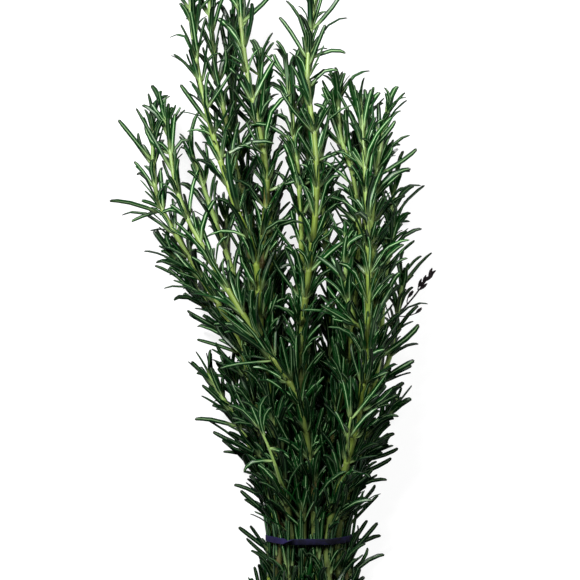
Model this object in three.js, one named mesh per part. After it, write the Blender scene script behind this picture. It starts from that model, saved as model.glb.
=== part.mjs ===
// A tied bunch of rosemary, lying on its side.
//
// Units are millimetres. +Z is up and z = 0 is the surface that the bunch lies on.
// +Y runs from the cut ends to the leafy tips. While the pieces are made, the origin is
// below the middle of the rubber band. The last lines move it under the middle of the
// bunch's bounding box.
//
// Each sprig is one closed body, as it grew: a four-angled stem swept along its route,
// with a band of four quads at every leaf node. A leaf is the quad of one stem face
// drawn out to a point, and a side shoot is such a quad continued as a stem of its own.

import * as THREE from 'three';

const { clamp, degToRad, lerp } = THREE.MathUtils;

// Stems: widths across the flats
const STEM_WIDTH_FOOT = 3.3;
const STEM_WIDTH_TIP = 1.6;
const STEM_TAPER = 2.5; // above 1, a stem keeps its width for longer before it thins
const SHOOT_WIDTH = 2.2; // a leafy side shoot at its base
const STALK_WIDTH = 1.2; // a dried flower stalk at its base
const STEM_CORNER = (STEM_WIDTH_FOOT * Math.SQRT2) / 2; // from the axis to a corner
const ROLL = [25, 65]; // degrees that a stem's faces are turned about its axis

// Leaf nodes along a stem
const NODE_HEIGHT = 1.4; // height of the quads that leaves grow from
const INTERNODE_FOOT = 15; // distance between nodes low on a stem
const INTERNODE_TIP = 5.5;
const BARE_FOOT = [9, 15]; // leafless length above the cut
const BARE_SHOOT = 6; // leafless length at the base of a side shoot
const SOFT_TIP = 60; // length below a tip over which nodes crowd and leaves close up

// Leaves
const LEAF_LENGTH = 28;
const LEAF_LENGTH_TIP = 23;
const LEAF_LENGTH_SHARE = [0.8, 1.1]; // one leaf against another
const AXIL_LEAF_SHARE = 0.62; // the smaller leaves between each main pair
const LEAF_ANGLE = 42; // degrees between a leaf and its stem
const LEAF_ANGLE_TIP = 15;
const LEAF_ANGLE_SPREAD = 10;
const LEAF_SECTOR = 42; // degrees either side of its stem face that a leaf may point to
const LEAF_TRIES = 22; // directions tried before a leaf is left out
const LEAF_SQUEEZE = 0.55; // share of its length that a leaf may lose to find room
const LEAF_SHORTEST = 7;
const LEAF_RODS = 3; // straight lengths that a leaf counts as when room is looked for

// Room between neighbours
const GAP = 0.35;
const STEM_PITCH = 5.3; // least distance between the axes of two stems
const STEM_REST = 3.2; // lowest height of a stem's axis

// Rubber band
const BAND_WIDTH = 3.4; // along Y
const BAND_THICKNESS = 1.1;
const BAND_CORNER_STEPS = 5;
const BAND_CLEAR = 6; // half the leafless length of stem around the band
const BAND_SAG = 1.6; // how far it has slid towards the cut ends at its highest point

// Spreading of the stems' routes
const ROUTE_STEP = 9;
const SPREAD_PASSES = 120;

const SEED = 7919;
const GREEN = new THREE.Color('#3f6b2c');
const BAND_COLOUR = new THREE.Color('#1b1b30');

// Routes run from the cut end to the tip: x across the bunch, y along it, z above the
// surface. A shoot leaves the left or right of its stem at a height `from` along Y.
const SPRIGS = [
  // Upper side of the pile
  { route: [[9, -58, 25], [3.3, 0, 27], [2, 30, 31], [-7, 79, 42],
    [-27, 109, 45], [-49, 145, 42], [-71, 187, 33], [-79, 234, 24]] },
  { route: [[-6, -60, 25], [-3.3, 0, 27], [-5, 77, 34], [-3, 124, 44],
    [1, 156, 48], [4, 187, 50], [3, 219, 48], [-1, 253, 43], [5, 308, 34]] },
  { route: [[15, -56, 25], [9.8, 0, 27], [16, 25, 31], [25, 59, 40], [30, 92, 47],
    [32, 128, 52], [32, 156, 54], [31, 181, 52], [30, 209, 48], [28, 239, 43]],
    shoot: { from: 104, side: 'left', route: [[24, 120, 53], [20, 140, 55], [19, 166, 54]] } },
  { route: [[-14, -57, 25], [-9.8, 0, 27], [-17, 50, 34], [-26, 110, 36],
    [-30, 157, 42], [-39, 179, 43], [-51, 216, 40], [-60, 253, 35], [-66, 298, 27]] },
  { route: [[-2, -54, 19], [-3.3, 0, 21.5], [-12, 60, 27], [-24, 122, 31],
    [-26, 154, 34], [-23, 197, 37], [-27, 224, 38], [-34, 257, 34], [-40, 309, 28]] },
  { route: [[-21, -55, 20], [-16.3, 0, 21.5], [-25, 50, 27], [-38, 107, 31],
    [-61, 147, 29], [-84, 190, 24], [-86, 233, 19]] },
  { route: [[20, -61, 20], [16.3, 0, 21.5], [31, 77, 32], [36, 132, 38],
    [34, 173, 43], [38, 209, 42], [43, 238, 38]] },
  { route: [[12, -59, 19], [9.8, 0, 21.5], [12, 50, 28], [20, 90, 36], [25, 132, 42],
    [27, 172, 44], [23, 202, 44], [17, 221, 43], [16, 248, 40]] },
  { route: [[5, -62, 19], [3.3, 0, 21.5], [1, 60, 27], [-3, 120, 34],
    [-5, 187, 38], [-9, 230, 37], [-12, 262, 33]] },
  { route: [[-11, -60, 20], [-9.8, 0, 21.5], [-16, 50, 25], [-28, 100, 27],
    [-43, 150, 25], [-54, 182, 25], [-65, 213, 22]] },
  // Middle
  { route: [[-16, -58, 14], [-13, 0, 16], [-17, 50, 19], [-30, 120, 20],
    [-35, 179, 26], [-42, 213, 28], [-52, 262, 27], [-56, 308, 22]] },
  { route: [[-26, -53, 14], [-19.5, 0, 16], [-27, 38, 18], [-43, 69, 19],
    [-56, 91, 17]] },
  { route: [[2, -57, 14], [0, 0, 16], [-8, 60, 21], [-19, 120, 24],
    [-22, 180, 28], [-26, 235, 30], [-27, 266, 28]] },
  { route: [[25, -60, 14], [19.5, 0, 16], [31, 60, 24], [39, 104, 30],
    [41, 137, 33], [44, 157, 33], [47, 174, 32]] },
  { route: [[16, -55, 14], [13, 0, 16], [18, 60, 22], [27, 120, 28],
    [31, 180, 34], [30, 215, 36], [33, 240, 35]] },
  { route: [[9, -63, 14], [6.5, 0, 16], [9, 60, 21], [12, 130, 27],
    [8, 180, 31], [6, 220, 31]] },
  { route: [[-7, -56, 14], [-6.5, 0, 16], [-16, 50, 20], [-36, 100, 21],
    [-62, 137, 18], [-79, 163, 15]] },
  // Lower side
  { route: [[-19, -60, 9], [-16.3, 0, 10.5], [-20, 34, 12], [-32, 63, 14], [-44, 92, 13]] },
  { route: [[19, -57, 9], [16.3, 0, 10.5], [25, 40, 14], [36, 75, 18],
    [46, 105, 17], [50, 130, 15], [53, 147, 14]] },
  { route: [[-10, -58, 9], [-9.8, 0, 10.5], [-13, 60, 15], [-24, 130, 16],
    [-34, 190, 18], [-42, 240, 18], [-42, 284, 17]] },
  { route: [[-4, -60, 9], [-3.3, 0, 10.5], [-3, 60, 15], [-1, 130, 18],
    [2, 190, 21], [-4, 250, 19]] },
  { route: [[4, -55, 9], [3.3, 0, 10.5], [8, 60, 15], [18, 130, 18],
    [28, 180, 22], [30, 226, 20]] },
  { route: [[12, -61, 9], [9.8, 0, 10.5], [18, 55, 15], [33, 110, 18],
    [42, 158, 20], [48, 198, 18]],
    shoot: { from: 104, side: 'right', dried: true,
      route: [[41, 113, 20], [48, 123, 22], [57, 135, 24], [67, 151, 25]] } },
  { route: [[-13, -54, 4], [-13, 0, 3.6], [-19, 50, 8], [-35, 110, 9],
    [-44, 150, 9], [-46, 182, 8]] },
  { route: [[-6, -62, 4], [-6.5, 0, 3.6], [-10, 60, 8], [-17, 130, 9],
    [-22, 185, 9], [-31, 246, 8]] },
  { route: [[7, -58, 4], [6.5, 0, 3.6], [14, 60, 8], [26, 120, 9],
    [36, 180, 9], [41, 218, 8]] },
  { route: [[13, -56, 4], [13, 0, 3.6], [22, 30, 8], [37, 56, 10], [49, 76, 9]] },
];

// Repeatable random numbers in [0, 1) from a seed (mulberry32).
function randomSource(seed) {
  let state = seed >>> 0;
  return () => {
    state = (state + 0x6d2b79f5) >>> 0;
    let mixed = Math.imul(state ^ (state >>> 15), 1 | state);
    mixed = (mixed + Math.imul(mixed ^ (mixed >>> 7), 61 | mixed)) ^ mixed;
    return ((mixed ^ (mixed >>> 14)) >>> 0) / 4294967296;
  };
}

function vectors(rows) {
  return rows.map(([x, y, z]) => new THREE.Vector3(x, y, z));
}

function curveThrough(points) {
  const curve = new THREE.CatmullRomCurve3(points, false, 'centripetal');
  curve.arcLengthDivisions = 400;
  return curve;
}

// ---------------------------------------------------------------------------------
// Routes of the stems
// ---------------------------------------------------------------------------------

function evenlySpaced(route) {
  const curve = curveThrough(vectors(route));
  return curve.getSpacedPoints(Math.round(curve.getLength() / ROUTE_STEP));
}

// The point of a line nearest to p, with its distance and the index of its segment.
function nearestOnLine(p, line) {
  let nearest = { distance: Infinity };
  const segment = new THREE.Line3();
  const spot = new THREE.Vector3();
  for (let index = 0; index + 1 < line.length; index++) {
    segment.set(line[index], line[index + 1]).closestPointToPoint(p, true, spot);
    const distance = spot.distanceTo(p);
    if (distance < nearest.distance) nearest = { distance, index, spot: spot.clone() };
  }
  return nearest;
}

// Pushes neighbouring stems apart until each pair keeps STEM_PITCH, as packed stems do.
// The pushes are smoothed along each stem in every pass, so that it stays a smooth line.
function spreadRoutes(lines) {
  const rest = lines.map((line) => line.map((p) => p.clone()));
  const shifts = lines.map((line) => line.map(() => new THREE.Vector3()));
  for (let pass = 0; pass < SPREAD_PASSES; pass++) {
    lines.forEach((line, i) => {
      lines.forEach((other, j) => {
        if (i === j) return;
        line.forEach((p, k) => {
          const near = nearestOnLine(p, other);
          if (near.distance >= STEM_PITCH) return;
          const push = p.clone().sub(near.spot).setLength((STEM_PITCH - near.distance) / 2);
          shifts[i][k].add(push);
          shifts[j][near.index].sub(push);
          shifts[j][near.index + 1].sub(push);
        });
      });
    });
    lines.forEach((line, i) => {
      const raw = shifts[i].map((shift) => shift.clone());
      line.forEach((p, k) => {
        const before = raw[Math.max(k - 1, 0)];
        const after = raw[Math.min(k + 1, line.length - 1)];
        shifts[i][k].multiplyScalar(2).add(before).add(after).multiplyScalar(0.25);
        p.copy(rest[i][k]).add(shifts[i][k]);
        p.z = Math.max(p.z, STEM_REST);
      });
    });
  }
}

// ---------------------------------------------------------------------------------
// Room that is already taken
// ---------------------------------------------------------------------------------

// Closest distance between the segments a-b and c-d.
function segmentDistance(a, b, c, d) {
  const u = b.clone().sub(a);
  const v = d.clone().sub(c);
  const w = a.clone().sub(c);
  const uu = u.dot(u);
  const uv = u.dot(v);
  const vv = v.dot(v);
  const uw = u.dot(w);
  const vw = v.dot(w);
  const det = uu * vv - uv * uv;
  const free = det > 1e-9 ? clamp((uv * vw - vv * uw) / det, 0, 1) : 0;
  const t = clamp((uv * free + vw) / vv, 0, 1);
  const s = clamp((uv * t - uw) / uu, 0, 1);
  return w.addScaledVector(u, s).addScaledVector(v, -t).length();
}

// Round rods that stand for the stems, leaves and band already in place.
class Occupied {
  constructor() {
    this.rods = [];
  }

  add(start, end, radius, owner) {
    const middle = start.clone().add(end).multiplyScalar(0.5);
    const reach = start.distanceTo(end) / 2 + radius;
    this.rods.push({ start, end, radius, owner, middle, reach });
  }

  addStem(line, footRadius, tipRadius, owner) {
    for (let k = 0; k + 1 < line.length; k++) {
      const radius = lerp(footRadius, tipRadius, (k / line.length) ** STEM_TAPER);
      this.add(line[k], line[k + 1], radius, owner);
    }
  }

  isClear(start, end, radius, ignoredOwners) {
    const middle = start.clone().add(end).multiplyScalar(0.5);
    const reach = start.distanceTo(end) / 2 + radius + GAP;
    return this.rods.every((rod) => {
      if (ignoredOwners.includes(rod.owner)) return true;
      if (rod.middle.distanceTo(middle) > rod.reach + reach) return true;
      const distance = segmentDistance(start, end, rod.start, rod.end);
      return distance > rod.radius + radius + GAP;
    });
  }
}

// ---------------------------------------------------------------------------------
// Bodies
// ---------------------------------------------------------------------------------

// Vertices and outward triangles of one closed body.
class Body {
  constructor() {
    this.points = [];
    this.faces = [];
  }

  point(position) {
    this.points.push(position);
    return this.points.length - 1;
  }

  centreOf(ids) {
    const sum = ids.reduce((total, id) => total.add(this.points[id]), new THREE.Vector3());
    return sum.divideScalar(ids.length);
  }

  quad(a, b, c, d) {
    this.faces.push([a, b, c], [a, c, d]);
  }

  // Draws a quad out to the point with the id `apex`.
  spike(a, b, c, d, apex) {
    this.faces.push([a, b, apex], [b, c, apex], [c, d, apex], [d, a, apex]);
  }

  // Joins two rings of four points.
  sleeve(low, high) {
    for (let j = 0; j < 4; j++) {
      const k = (j + 1) % 4;
      this.quad(low[j], low[k], high[k], high[j]);
    }
  }

  mesh(name, color, roughness) {
    const geometry = new THREE.BufferGeometry();
    const coordinates = this.points.flatMap((p) => [p.x, p.y, p.z]);
    geometry.setAttribute('position', new THREE.Float32BufferAttribute(coordinates, 3));
    geometry.setIndex(this.faces.flat());
    const material = new THREE.MeshStandardMaterial({ color, roughness, metalness: 0 });
    const mesh = new THREE.Mesh(geometry, material);
    mesh.name = name;
    return mesh;
  }
}

// ---------------------------------------------------------------------------------
// Sprigs
// ---------------------------------------------------------------------------------

// Corners of the square section at `centre`, in order round the stem's axis. Two of its
// faces look along `across`, made square to the stem.
function sectionCorners(centre, along, across, width) {
  const e = across.clone().projectOnPlane(along).normalize();
  const f = along.clone().cross(e);
  const signs = [[1, 1], [-1, 1], [-1, -1], [1, -1]];
  return signs.map(([i, j]) => centre.clone()
    .addScaledVector(e, (i * width) / 2)
    .addScaledVector(f, (j * width) / 2));
}

// Outward direction of face j of a ring, which joins corners j and j + 1.
function faceNormal(ring, j) {
  const middle = ring.corners[j].clone().add(ring.corners[(j + 1) % 4]).multiplyScalar(0.5);
  return middle.sub(ring.centre).normalize();
}

// 0 on the firm part of a stem, rising to 1 at its tip.
function softness(distanceToTip) {
  return clamp(1 - distanceToTip / SOFT_TIP, 0, 1);
}

// Distances of the leaf nodes along a stem, closer together towards the tip.
function nodePositions(length, first) {
  const positions = [];
  let s = first;
  while (s < length - INTERNODE_TIP) {
    positions.push(s);
    s += lerp(INTERNODE_FOOT, INTERNODE_TIP, softness(length - s));
  }
  return positions;
}

class Sprig {
  constructor(name, seed, occupied) {
    this.name = name;
    this.occupied = occupied;
    this.body = new Body();
    this.random = randomSource(seed);
  }

  between([low, high]) {
    return lerp(low, high, this.random());
  }

  // Looks for a point where a leaf from `base` meets nothing. The leaves of one node stay
  // in a sector each, so they only need testing against the rest of the bunch. Returns
  // null where the bunch is too dense.
  leafPoint(base, along, outward, plan) {
    for (let i = 0; i < LEAF_TRIES; i++) {
      const ease = i / LEAF_TRIES;
      const spread = LEAF_ANGLE_SPREAD * (1 + ease);
      const tilt = degToRad(plan.angle + this.between([-spread, spread]));
      const turn = degToRad(this.between([-LEAF_SECTOR, LEAF_SECTOR]));
      const share = this.between(LEAF_LENGTH_SHARE) * (1 - LEAF_SQUEEZE * ease);
      const side = outward.clone().applyAxisAngle(along, turn);
      const direction = along.clone().multiplyScalar(Math.cos(tilt));
      direction.addScaledVector(side, Math.sin(tilt));
      const reach = Math.max(plan.length * share, LEAF_SHORTEST);
      const point = base.clone().addScaledVector(direction, reach);
      point.z = Math.max(point.z, 0);
      const sideways = point.clone().sub(base).projectOnPlane(along);
      const inSector = sideways.angleTo(outward) < degToRad(LEAF_SECTOR);
      if (inSector && this.leafIsClear(base, point, plan)) return point;
    }
    return null;
  }

  // A leaf counts as rods in a row, each as thick as the thicker end of its length.
  leafRods(base, point, radius) {
    return Array.from({ length: LEAF_RODS }, (_, k) => ({
      start: base.clone().lerp(point, k / LEAF_RODS),
      end: base.clone().lerp(point, (k + 1) / LEAF_RODS),
      radius: radius * (1 - k / LEAF_RODS),
    }));
  }

  // The first rod of a leaf touches its own stem, and the others must clear it as well.
  leafIsClear(base, point, plan) {
    return this.leafRods(base, point, plan.radius).every(({ start, end, radius }, k) => {
      const ignored = k === 0 ? [plan.owner, this.name] : [plan.owner];
      return this.occupied.isClear(start, end, radius, ignored);
    });
  }

  // Grows a leaf on face j between two rings, or closes that face flat.
  growLeaf(low, high, j, plan) {
    const k = (j + 1) % 4;
    const quad = [low.ids[j], low.ids[k], high.ids[k], high.ids[j]];
    const base = this.body.centreOf(quad);
    const point = this.leafPoint(base, low.along, faceNormal(low, j), plan);
    if (point) {
      this.leafRods(base, point, plan.radius).forEach(({ start, end, radius }) => {
        this.occupied.add(start, end, radius, plan.owner);
      });
      this.body.spike(...quad, this.body.point(point));
    } else {
      this.body.quad(...quad);
    }
  }

  // Continues face j between two rings as a stem of its own.
  growShoot(low, high, j, shoot) {
    const k = (j + 1) % 4;
    const ids = [high.ids[k], high.ids[j], low.ids[j], low.ids[k]];
    const curve = curveThrough([this.body.centreOf(ids), ...vectors(shoot.route)]);
    const across = low.corners[k].clone().sub(low.corners[j]).normalize();
    const width = shoot.dried ? STALK_WIDTH : SHOOT_WIDTH;
    this.growStem(curve, { ids }, across, {
      firstNode: BARE_SHOOT, width, tipWidth: width / 2, leafless: shoot.dried,
    });
  }

  // The face of a ring that looks most to the wanted side of the bunch.
  faceTowards(ring, side) {
    const sign = side === 'left' ? -1 : 1;
    const facing = [0, 1, 2, 3].map((j) => sign * faceNormal(ring, j).x);
    return facing.indexOf(Math.max(...facing));
  }

  ring(curve, u, width, across) {
    const centre = curve.getPointAt(u);
    const along = curve.getTangentAt(u);
    const corners = sectionCorners(centre, along, across, width);
    return { centre, along, corners, ids: corners.map((p) => this.body.point(p)) };
  }

  // Grows a stem along a curve from its first ring to its tip, with its leaf nodes.
  growStem(curve, firstRing, across, options) {
    const length = curve.getLength();
    const nodes = nodePositions(length, options.firstNode);
    const heights = nodes.map((s) => curve.getPointAt(s / length).y);
    const shootNode = options.shoot ? heights.findIndex((y) => y > options.shoot.from) : -1;
    let last = firstRing;
    nodes.forEach((s, n) => {
      const width = lerp(options.width, options.tipWidth, (s / length) ** STEM_TAPER);
      const low = this.ring(curve, (s - NODE_HEIGHT / 2) / length, width, across);
      this.body.sleeve(last.ids, low.ids);
      last = low;
      if (options.leafless || Math.abs(heights[n]) < BAND_CLEAR) return;
      const high = this.ring(curve, (s + NODE_HEIGHT / 2) / length, width, across);
      const soft = softness(length - s);
      const mainLength = lerp(LEAF_LENGTH, LEAF_LENGTH_TIP, soft);
      const shared = {
        angle: lerp(LEAF_ANGLE, LEAF_ANGLE_TIP, soft),
        radius: Math.hypot(width, NODE_HEIGHT) / 2,
        owner: `${this.name} node ${this.body.points.length}`,
      };
      const shootFace = n === shootNode ? this.faceTowards(low, options.shoot.side) : -1;
      for (let j = 0; j < 4; j++) {
        const share = (j + n) % 2 === 0 ? 1 : AXIL_LEAF_SHARE;
        if (j === shootFace) this.growShoot(low, high, j, options.shoot);
        else this.growLeaf(low, high, j, { ...shared, length: mainLength * share });
      }
      last = high;
    });
    const tip = this.body.point(curve.getPointAt(1));
    for (let j = 0; j < 4; j++) {
      this.body.faces.push([last.ids[j], last.ids[(j + 1) % 4], tip]);
    }
  }

  // The whole sprig, from its flat cut end.
  grow(line, shoot) {
    const roll = degToRad(this.between(ROLL));
    const across = new THREE.Vector3(Math.cos(roll), 0, Math.sin(roll));
    const curve = curveThrough(line);
    const foot = this.ring(curve, 0, STEM_WIDTH_FOOT, across);
    this.body.quad(...foot.ids.slice().reverse());
    this.growStem(curve, foot, across, {
      firstNode: this.between(BARE_FOOT), width: STEM_WIDTH_FOOT, tipWidth: STEM_WIDTH_TIP, shoot,
    });
    return this.body.mesh(this.name, GREEN, 0.55);
  }
}

// ---------------------------------------------------------------------------------
// Rubber band
// ---------------------------------------------------------------------------------

// Where a stem passes under the middle of the band, as a point of the XZ plane.
function bandCrossing(line) {
  const k = line.findIndex((p) => p.y > 0);
  const share = line[k - 1].y / (line[k - 1].y - line[k].y);
  const p = line[k - 1].clone().lerp(line[k], share);
  return new THREE.Vector2(p.x, p.z);
}

// Convex hull of points in a plane, counter-clockwise (monotone chain).
function convexHull(points) {
  const turnsLeft = (a, b, c) => b.clone().sub(a).cross(c.clone().sub(a)) > 1e-6;
  const chain = (ordered) => {
    const hull = [];
    ordered.forEach((p) => {
      while (hull.length > 1 && !turnsLeft(hull[hull.length - 2], hull[hull.length - 1], p)) {
        hull.pop();
      }
      hull.push(p);
    });
    return hull.slice(0, -1);
  };
  const sorted = [...points].sort((a, b) => a.x - b.x || a.y - b.y);
  return [...chain(sorted), ...chain(sorted.reverse())];
}

// Points round a hull at a constant distance from it: straight runs joined by arcs.
function offsetOutline(hull, distance) {
  return hull.flatMap((corner, i) => {
    const before = hull[(i + hull.length - 1) % hull.length];
    const after = hull[(i + 1) % hull.length];
    const start = corner.clone().sub(before).angle() - Math.PI / 2;
    const end = after.clone().sub(corner).angle() - Math.PI / 2;
    const turn = THREE.MathUtils.euclideanModulo(end - start, 2 * Math.PI);
    return Array.from({ length: BAND_CORNER_STEPS + 1 }, (_, k) => {
      const angle = start + (turn * k) / BAND_CORNER_STEPS;
      return new THREE.Vector2(Math.cos(angle), Math.sin(angle)).multiplyScalar(distance).add(corner);
    });
  });
}

// A flat band stretched round the stems. Its underside lies flat on the surface.
function rubberBand(lines, occupied) {
  const hull = convexHull(lines.map(bandCrossing));
  const inside = offsetOutline(hull, STEM_CORNER + GAP);
  const outside = offsetOutline(hull, STEM_CORNER + GAP + BAND_THICKNESS);
  const top = Math.max(...outside.map((p) => p.y));
  const middleY = (p) => -BAND_SAG * clamp(p.y / top, 0, 1) ** 2;
  const lift = (p, y) => new THREE.Vector3(p.x, y, Math.max(p.y, 0));
  const body = new Body();
  const rings = outside.map((outer, i) => {
    const y = middleY(outer);
    const low = y - BAND_WIDTH / 2;
    const high = y + BAND_WIDTH / 2;
    const corners = [lift(inside[i], low), lift(outer, low), lift(outer, high), lift(inside[i], high)];
    return corners.map((p) => body.point(p));
  });
  rings.forEach((ring, i) => body.sleeve(ring, rings[(i + 1) % rings.length]));
  const middleLine = [...outside, outside[0]].map((p) => lift(p, middleY(p)));
  occupied.addStem(middleLine, BAND_WIDTH / 2 + GAP, BAND_WIDTH / 2 + GAP, 'rubber_band');
  return body.mesh('rubber_band', BAND_COLOUR, 0.6);
}

// ---------------------------------------------------------------------------------
// The bunch
// ---------------------------------------------------------------------------------

const lines = SPRIGS.map(({ route }) => evenlySpaced(route));
spreadRoutes(lines);

const occupied = new Occupied();
const names = SPRIGS.map((_, i) => `sprig_${String(i + 1).padStart(2, '0')}`);
SPRIGS.forEach(({ shoot }, i) => {
  occupied.addStem(lines[i], STEM_CORNER, STEM_CORNER / 2, names[i]);
  if (shoot) occupied.addStem(vectors(shoot.route), SHOOT_WIDTH, SHOOT_WIDTH, names[i]);
});

const bunch = new THREE.Group();
bunch.add(rubberBand(lines, occupied));
SPRIGS.forEach(({ shoot }, i) => {
  bunch.add(new Sprig(names[i], SEED + i, occupied).grow(lines[i], shoot));
});

const middle = new THREE.Box3().setFromObject(bunch).getCenter(new THREE.Vector3());
bunch.position.set(-middle.x, -middle.y, 0);

export default bunch;
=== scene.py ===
"""Tied bunch of rosemary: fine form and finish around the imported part.

Lengths are in metres. +Y runs from the cut ends to the tips and +Z is up from the surface
that the bunch lies on. Each sprig's stem lines and leaves are read from its CAD node. A stem
joint and a leaf blade are modelled once, in edit mode, and copied along those lines, so that
each sprig becomes a stem piece and a foliage piece.
"""

from __future__ import annotations

import logging
import math
from dataclasses import dataclass, field
from enum import Enum
from typing import Any, Callable, Iterable

import bmesh
import bpy
import numpy as np
from mathutils.geometry import convex_hull_2d
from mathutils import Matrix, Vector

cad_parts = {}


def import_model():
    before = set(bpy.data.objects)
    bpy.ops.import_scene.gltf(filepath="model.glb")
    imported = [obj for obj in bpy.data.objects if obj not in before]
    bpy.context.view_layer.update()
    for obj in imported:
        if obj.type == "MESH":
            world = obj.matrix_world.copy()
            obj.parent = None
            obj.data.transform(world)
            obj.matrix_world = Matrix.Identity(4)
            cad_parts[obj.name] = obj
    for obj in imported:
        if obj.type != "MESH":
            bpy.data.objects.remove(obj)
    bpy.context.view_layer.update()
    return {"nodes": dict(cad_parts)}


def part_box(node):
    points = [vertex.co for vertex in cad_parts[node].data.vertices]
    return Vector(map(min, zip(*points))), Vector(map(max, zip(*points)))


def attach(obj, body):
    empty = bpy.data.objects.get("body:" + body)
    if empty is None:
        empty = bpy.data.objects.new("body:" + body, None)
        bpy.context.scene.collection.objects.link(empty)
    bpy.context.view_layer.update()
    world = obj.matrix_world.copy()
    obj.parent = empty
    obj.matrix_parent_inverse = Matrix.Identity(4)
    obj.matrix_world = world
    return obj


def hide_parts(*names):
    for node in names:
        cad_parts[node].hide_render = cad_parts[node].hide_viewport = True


LOG = logging.getLogger("rosemary")
BODY = "root"
BAND_NODE = "rubber_band"

Vec = np.ndarray
Colour = tuple[float, float, float]
Profile = tuple[tuple[float, float], ...]

UP = np.array([0.0, 0.0, 1.0])
SIDES = 8

# Attribute channels, written by Foliage, StemBuilder and RubberBand and read by the finishes:
#   leaf_look: tint of the leaf, youth, underside
#   leaf_look: tone of the leaf with its painted shade, youth, underside
#   stem_look: age from tip to foot, closeness to a node, bark of the sprig
#   stem_spot: along the stem in metres, share of a turn round it, radius on a cut end
#   band_look: along the strap, across it, which face
LEAF_LOOK, LEAF_SPOT = "leaf_look", "leaf_spot"
STEM_LOOK, STEM_SPOT = "stem_look", "stem_spot"
BAND_LOOK = "band_look"


class Slot(Enum):
    """Material slots of the part's record."""

    SPRIG = "sprig"
    BAND = "band"


def unit(v: Vec) -> Vec:
    """Return v, or each row of v, at length 1."""
    return v / np.maximum(np.linalg.norm(v, axis=-1, keepdims=True), 1e-12)


def square_to(v: Vec, axis: Vec) -> Vec:
    """Return the unit direction of v square to axis, row by row."""
    return unit(v - np.sum(v * axis, axis=-1, keepdims=True) * axis)


def turned(start: Vec, towards: Vec, angle: Any) -> Vec:
    """Return the direction at an angle from start towards a direction square to it."""
    return np.cos(angle) * start + np.sin(angle) * towards


def aimed(heading: float, climb: float) -> Vec:
    """Return the direction of a heading in degrees, clockwise from +Y, with a climb."""
    angle = math.radians(heading)
    return unit(np.array([math.sin(angle), math.cos(angle), climb]))


def clamp(value: float, low: float = 0.0, high: float = 1.0) -> float:
    """Return a number kept between two limits."""
    return float(np.clip(value, low, high))


def distances(points: Vec) -> Vec:
    """Return how far along a line of points each of them lies."""
    return np.concatenate([[0.0], np.cumsum(np.linalg.norm(np.diff(points, axis=0), axis=1))])


def sampled(s: Vec, at: Vec, rows: Vec) -> Vec:
    """Return rows of numbers at s, in a straight line between the rows given at `at`."""
    return np.stack([np.interp(s, at, column) for column in rows.T], axis=-1)


def places(mesh: bpy.types.Mesh) -> Vec:
    """Return the places of a mesh's points."""
    return np.array([vertex.co[:] for vertex in mesh.vertices])


def srgb(red: int, green: int, blue: int) -> Colour:
    """Return a colour given as 0-255 display values in linear light."""
    levels = [c / 255 for c in (red, green, blue)]
    return tuple(c / 12.92 if c <= 0.04045 else ((c + 0.055) / 1.055) ** 2.4 for c in levels)


class Signal:
    """A number that varies over a surface, with arithmetic that adds Math nodes."""

    def __init__(self, graph: Graph, socket: bpy.types.NodeSocket) -> None:
        """Wrap an output socket of a graph's node."""
        self.graph = graph
        self.socket = socket

    def math(self, operation: str, *values: Signal | float, clamp: bool = False) -> Signal:
        """Return a Math node's output.

        Args:
            operation: The Math node's operation.
            values: Its inputs, in order.
            clamp: Whether the result is kept between 0 and 1.

        Returns:
            The node's output.
        """
        settings = {"operation": operation, "use_clamp": clamp}
        made = self.graph.node("ShaderNodeMath", settings, dict(enumerate(values)))
        return Signal(self.graph, made.outputs[0])

    def __add__(self, other: Signal | float) -> Signal:
        """Return self + other."""
        return self.math("ADD", self, other)

    def __sub__(self, other: Signal | float) -> Signal:
        """Return self - other."""
        return self.math("SUBTRACT", self, other)

    def __rsub__(self, other: float) -> Signal:
        """Return other - self."""
        return self.math("SUBTRACT", other, self)

    def __mul__(self, other: Signal | float) -> Signal:
        """Return self * other."""
        return self.math("MULTIPLY", self, other)

    __radd__ = __add__
    __rmul__ = __mul__

    def distance_from(self, centre: float) -> Signal:
        """Return the absolute difference from a number."""
        return self.math("ABSOLUTE", self - centre)

    def ramp(self, low: float, high: float) -> Signal:
        """Return 0 below low, 1 above high and a straight rise between, or a fall."""
        return self.math("MULTIPLY", self - low, 1 / (high - low), clamp=True)


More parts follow.
